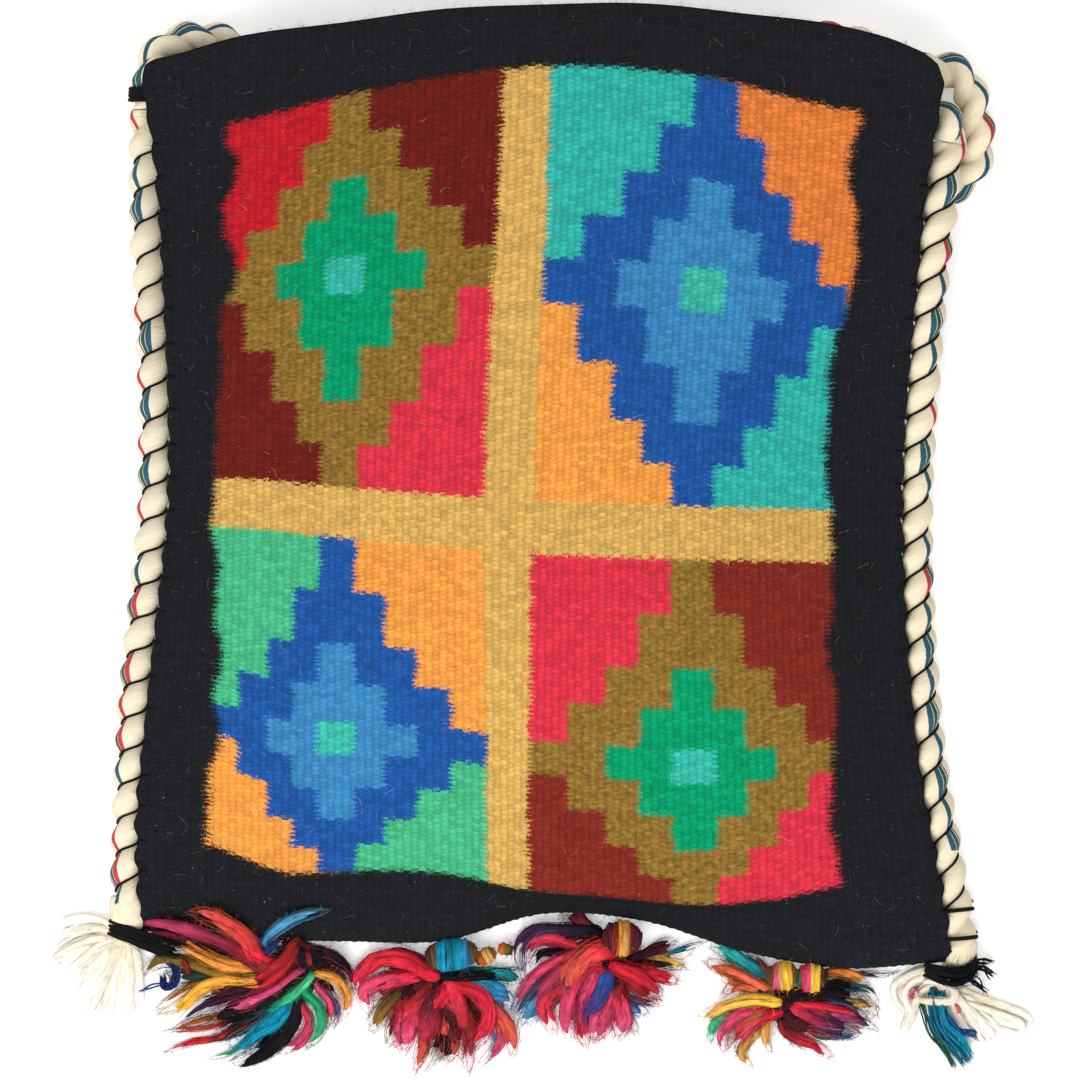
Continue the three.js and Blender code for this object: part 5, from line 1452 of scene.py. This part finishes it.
# Single hairs: dark grey on the border, dark to pale on the field, and black along the cloth's edges
lastWarp, lastRow = design["warps"][-1], design["rows"][-1]
hairs = {
    "border": 520, "field": 700, "edge": 900, "length": (1.5, 6), "edgeLength": (0.6, 2.2),
    "radius": 0.04 * mm, "bend": 0.8, "points": 5, "borderPale": 0.3, "fieldPale": 0.8,
    "fieldWarps": (9, 91), "fieldRows": (17, 186),
    "borderWarps": [(0.5, 9), (91, 102.5), (0, lastWarp), (0, lastWarp)],
    "borderRows": [(2, lastRow), (2, lastRow), (3, 17), (186, 201)],
}


def strayHair(pile, warp, row, colour):
    s, t = clothShares(np.array(float(warp)), np.array(float(row)))
    if not (0.01 < s < 0.99 and 0.02 < t < 0.99):
        return
    heading, bend = draw.uniform(0, 2 * np.pi), draw.normal(0, hairs["bend"])
    steps = np.linspace(-0.5, 0.5, hairs["points"])
    run = draw.uniform(*hairs["length"]) * mm / hairs["points"]
    turn = heading + bend * steps
    x, y = plan(s, t)
    px = x + np.cumsum(np.cos(turn)) * run
    py = y + np.cumsum(np.sin(turn)) * run
    low, high = plan(0.0, float(t))[0], plan(1.0, float(t))[0]
    across = np.clip((px - low) / (high - low), 0.003, 0.997)
    foot, mouth = along(bagShape["fold"], across), along(bagShape["mouth"], across)
    up = np.clip((py - foot) / (mouth - foot), 0.004, 0.997)
    lift = 0.35 + 0.5 * np.sin(np.pi * (steps + 0.5)) * draw.uniform(0, 1.4)
    pz = frontHeight(across, up) + ripple(across, up) + lift * mm
    pile.tube(np.stack([px, py, pz], axis=1), hairs["radius"], colour, sides=3)


def paled(colour, most):  # black wool, now and then much paler
    return blend(np.array(wool["ink"]), np.array(wool[colour]), most * draw.uniform(0, 1) ** 2)


pile = YarnPile()
for _ in range(hairs["border"]):
    edge = draw.choice(4)
    warp = [draw.uniform(*span) for span in hairs["borderWarps"]][edge]
    row = [draw.uniform(*span) for span in hairs["borderRows"]][edge]
    strayHair(pile, warp, row, paled("white", hairs["borderPale"]))
for _ in range(hairs["field"]):
    warp, row = draw.uniform(*hairs["fieldWarps"]), draw.uniform(*hairs["fieldRows"])
    strayHair(pile, warp, row, paled("cream", hairs["fieldPale"]))
for _ in range(hairs["edge"]):  # the edges of the cloth are not clean either
    place, edge = draw.uniform(0.03, 0.97), draw.integers(4)
    start = frontPoint(*[(0.0, place), (1.0, place), (place, 0.0), (place, 1.0)][edge])
    heading = [math.pi, 0, -math.pi / 2, math.pi / 2][edge] + draw.normal(0, 0.6)
    reach = np.linspace(-0.4, 1, 3)[:, None] * draw.uniform(*hairs["edgeLength"]) * mm
    line = start + reach * [math.cos(heading), math.sin(heading), draw.uniform(-0.4, 0.4)]
    pile.tube(line + reach ** 2 / mm * draw.normal(0, 0.2, 3), hairs["radius"], wool["ink"], sides=3)
settle(pile.build("stray_hairs", fringeWool), "woven_cloth")


# Pale floor, soft light from above
floorLook = {"grey": 0.86, "glow": 0.42, "reach": 4}


def floorMaterial():
    material, tree = newMaterial("pale_floor")
    surface = tree.nodes["Principled BSDF"]
    surface.inputs["Base Color"].default_value = (*[floorLook["grey"]] * 3, 1)
    surface.inputs["Roughness"].default_value = 1.0
    surface.inputs["Specular IOR Level"].default_value = 0.0
    surface.inputs["Emission Color"].default_value = (1, 1, 1, 1)
    path = addNode(tree, "ShaderNodeLightPath")
    seen = calc(tree, "ADD", path.outputs["Is Camera Ray"], path.outputs["Is Glossy Ray"])
    seen = calc(tree, "MINIMUM", calc(tree, "ADD", seen, path.outputs["Is Transmission Ray"]), 1.0)
    feed(tree, surface.inputs["Emission Strength"], calc(tree, "MULTIPLY", seen, floorLook["glow"]))
    return material


floorMesh = bpy.data.meshes.new("floor")
reach = floorLook["reach"]
floorMesh.from_pydata([(-reach, -reach, 0), (reach, -reach, 0), (reach, reach, 0), (-reach, reach, 0)], [],
                      [(0, 1, 2, 3)])
floorMesh.materials.append(floorMaterial())
floor = bpy.data.objects.new("floor", floorMesh)
bpy.context.scene.collection.objects.link(floor)

light = {"sky": 0.65, "keyPower": 25.0, "keySize": 1.2, "keyPlace": (-0.45, -0.95, 1.5)}
world = bpy.data.worlds.new("studio")
bpy.context.scene.world = world
world.use_nodes = True
sky = world.node_tree.nodes["Background"]
sky.inputs["Color"].default_value = (1, 1, 1, 1)
skyPath = addNode(world.node_tree, "ShaderNodeLightPath")
skyStrength = spread(world.node_tree, skyPath.outputs["Is Camera Ray"], light["sky"], 1.0)
feed(world.node_tree, sky.inputs["Strength"], skyStrength)
keyData = bpy.data.lights.new("key", "AREA")
keyData.energy = light["keyPower"]
keyData.size = light["keySize"]
key = bpy.data.objects.new("key", keyData)
key.location = light["keyPlace"]
key.rotation_euler = (-key.location).to_track_quat("-Z", "Y").to_euler()
bpy.context.scene.collection.objects.link(key)

print("all pieces made")
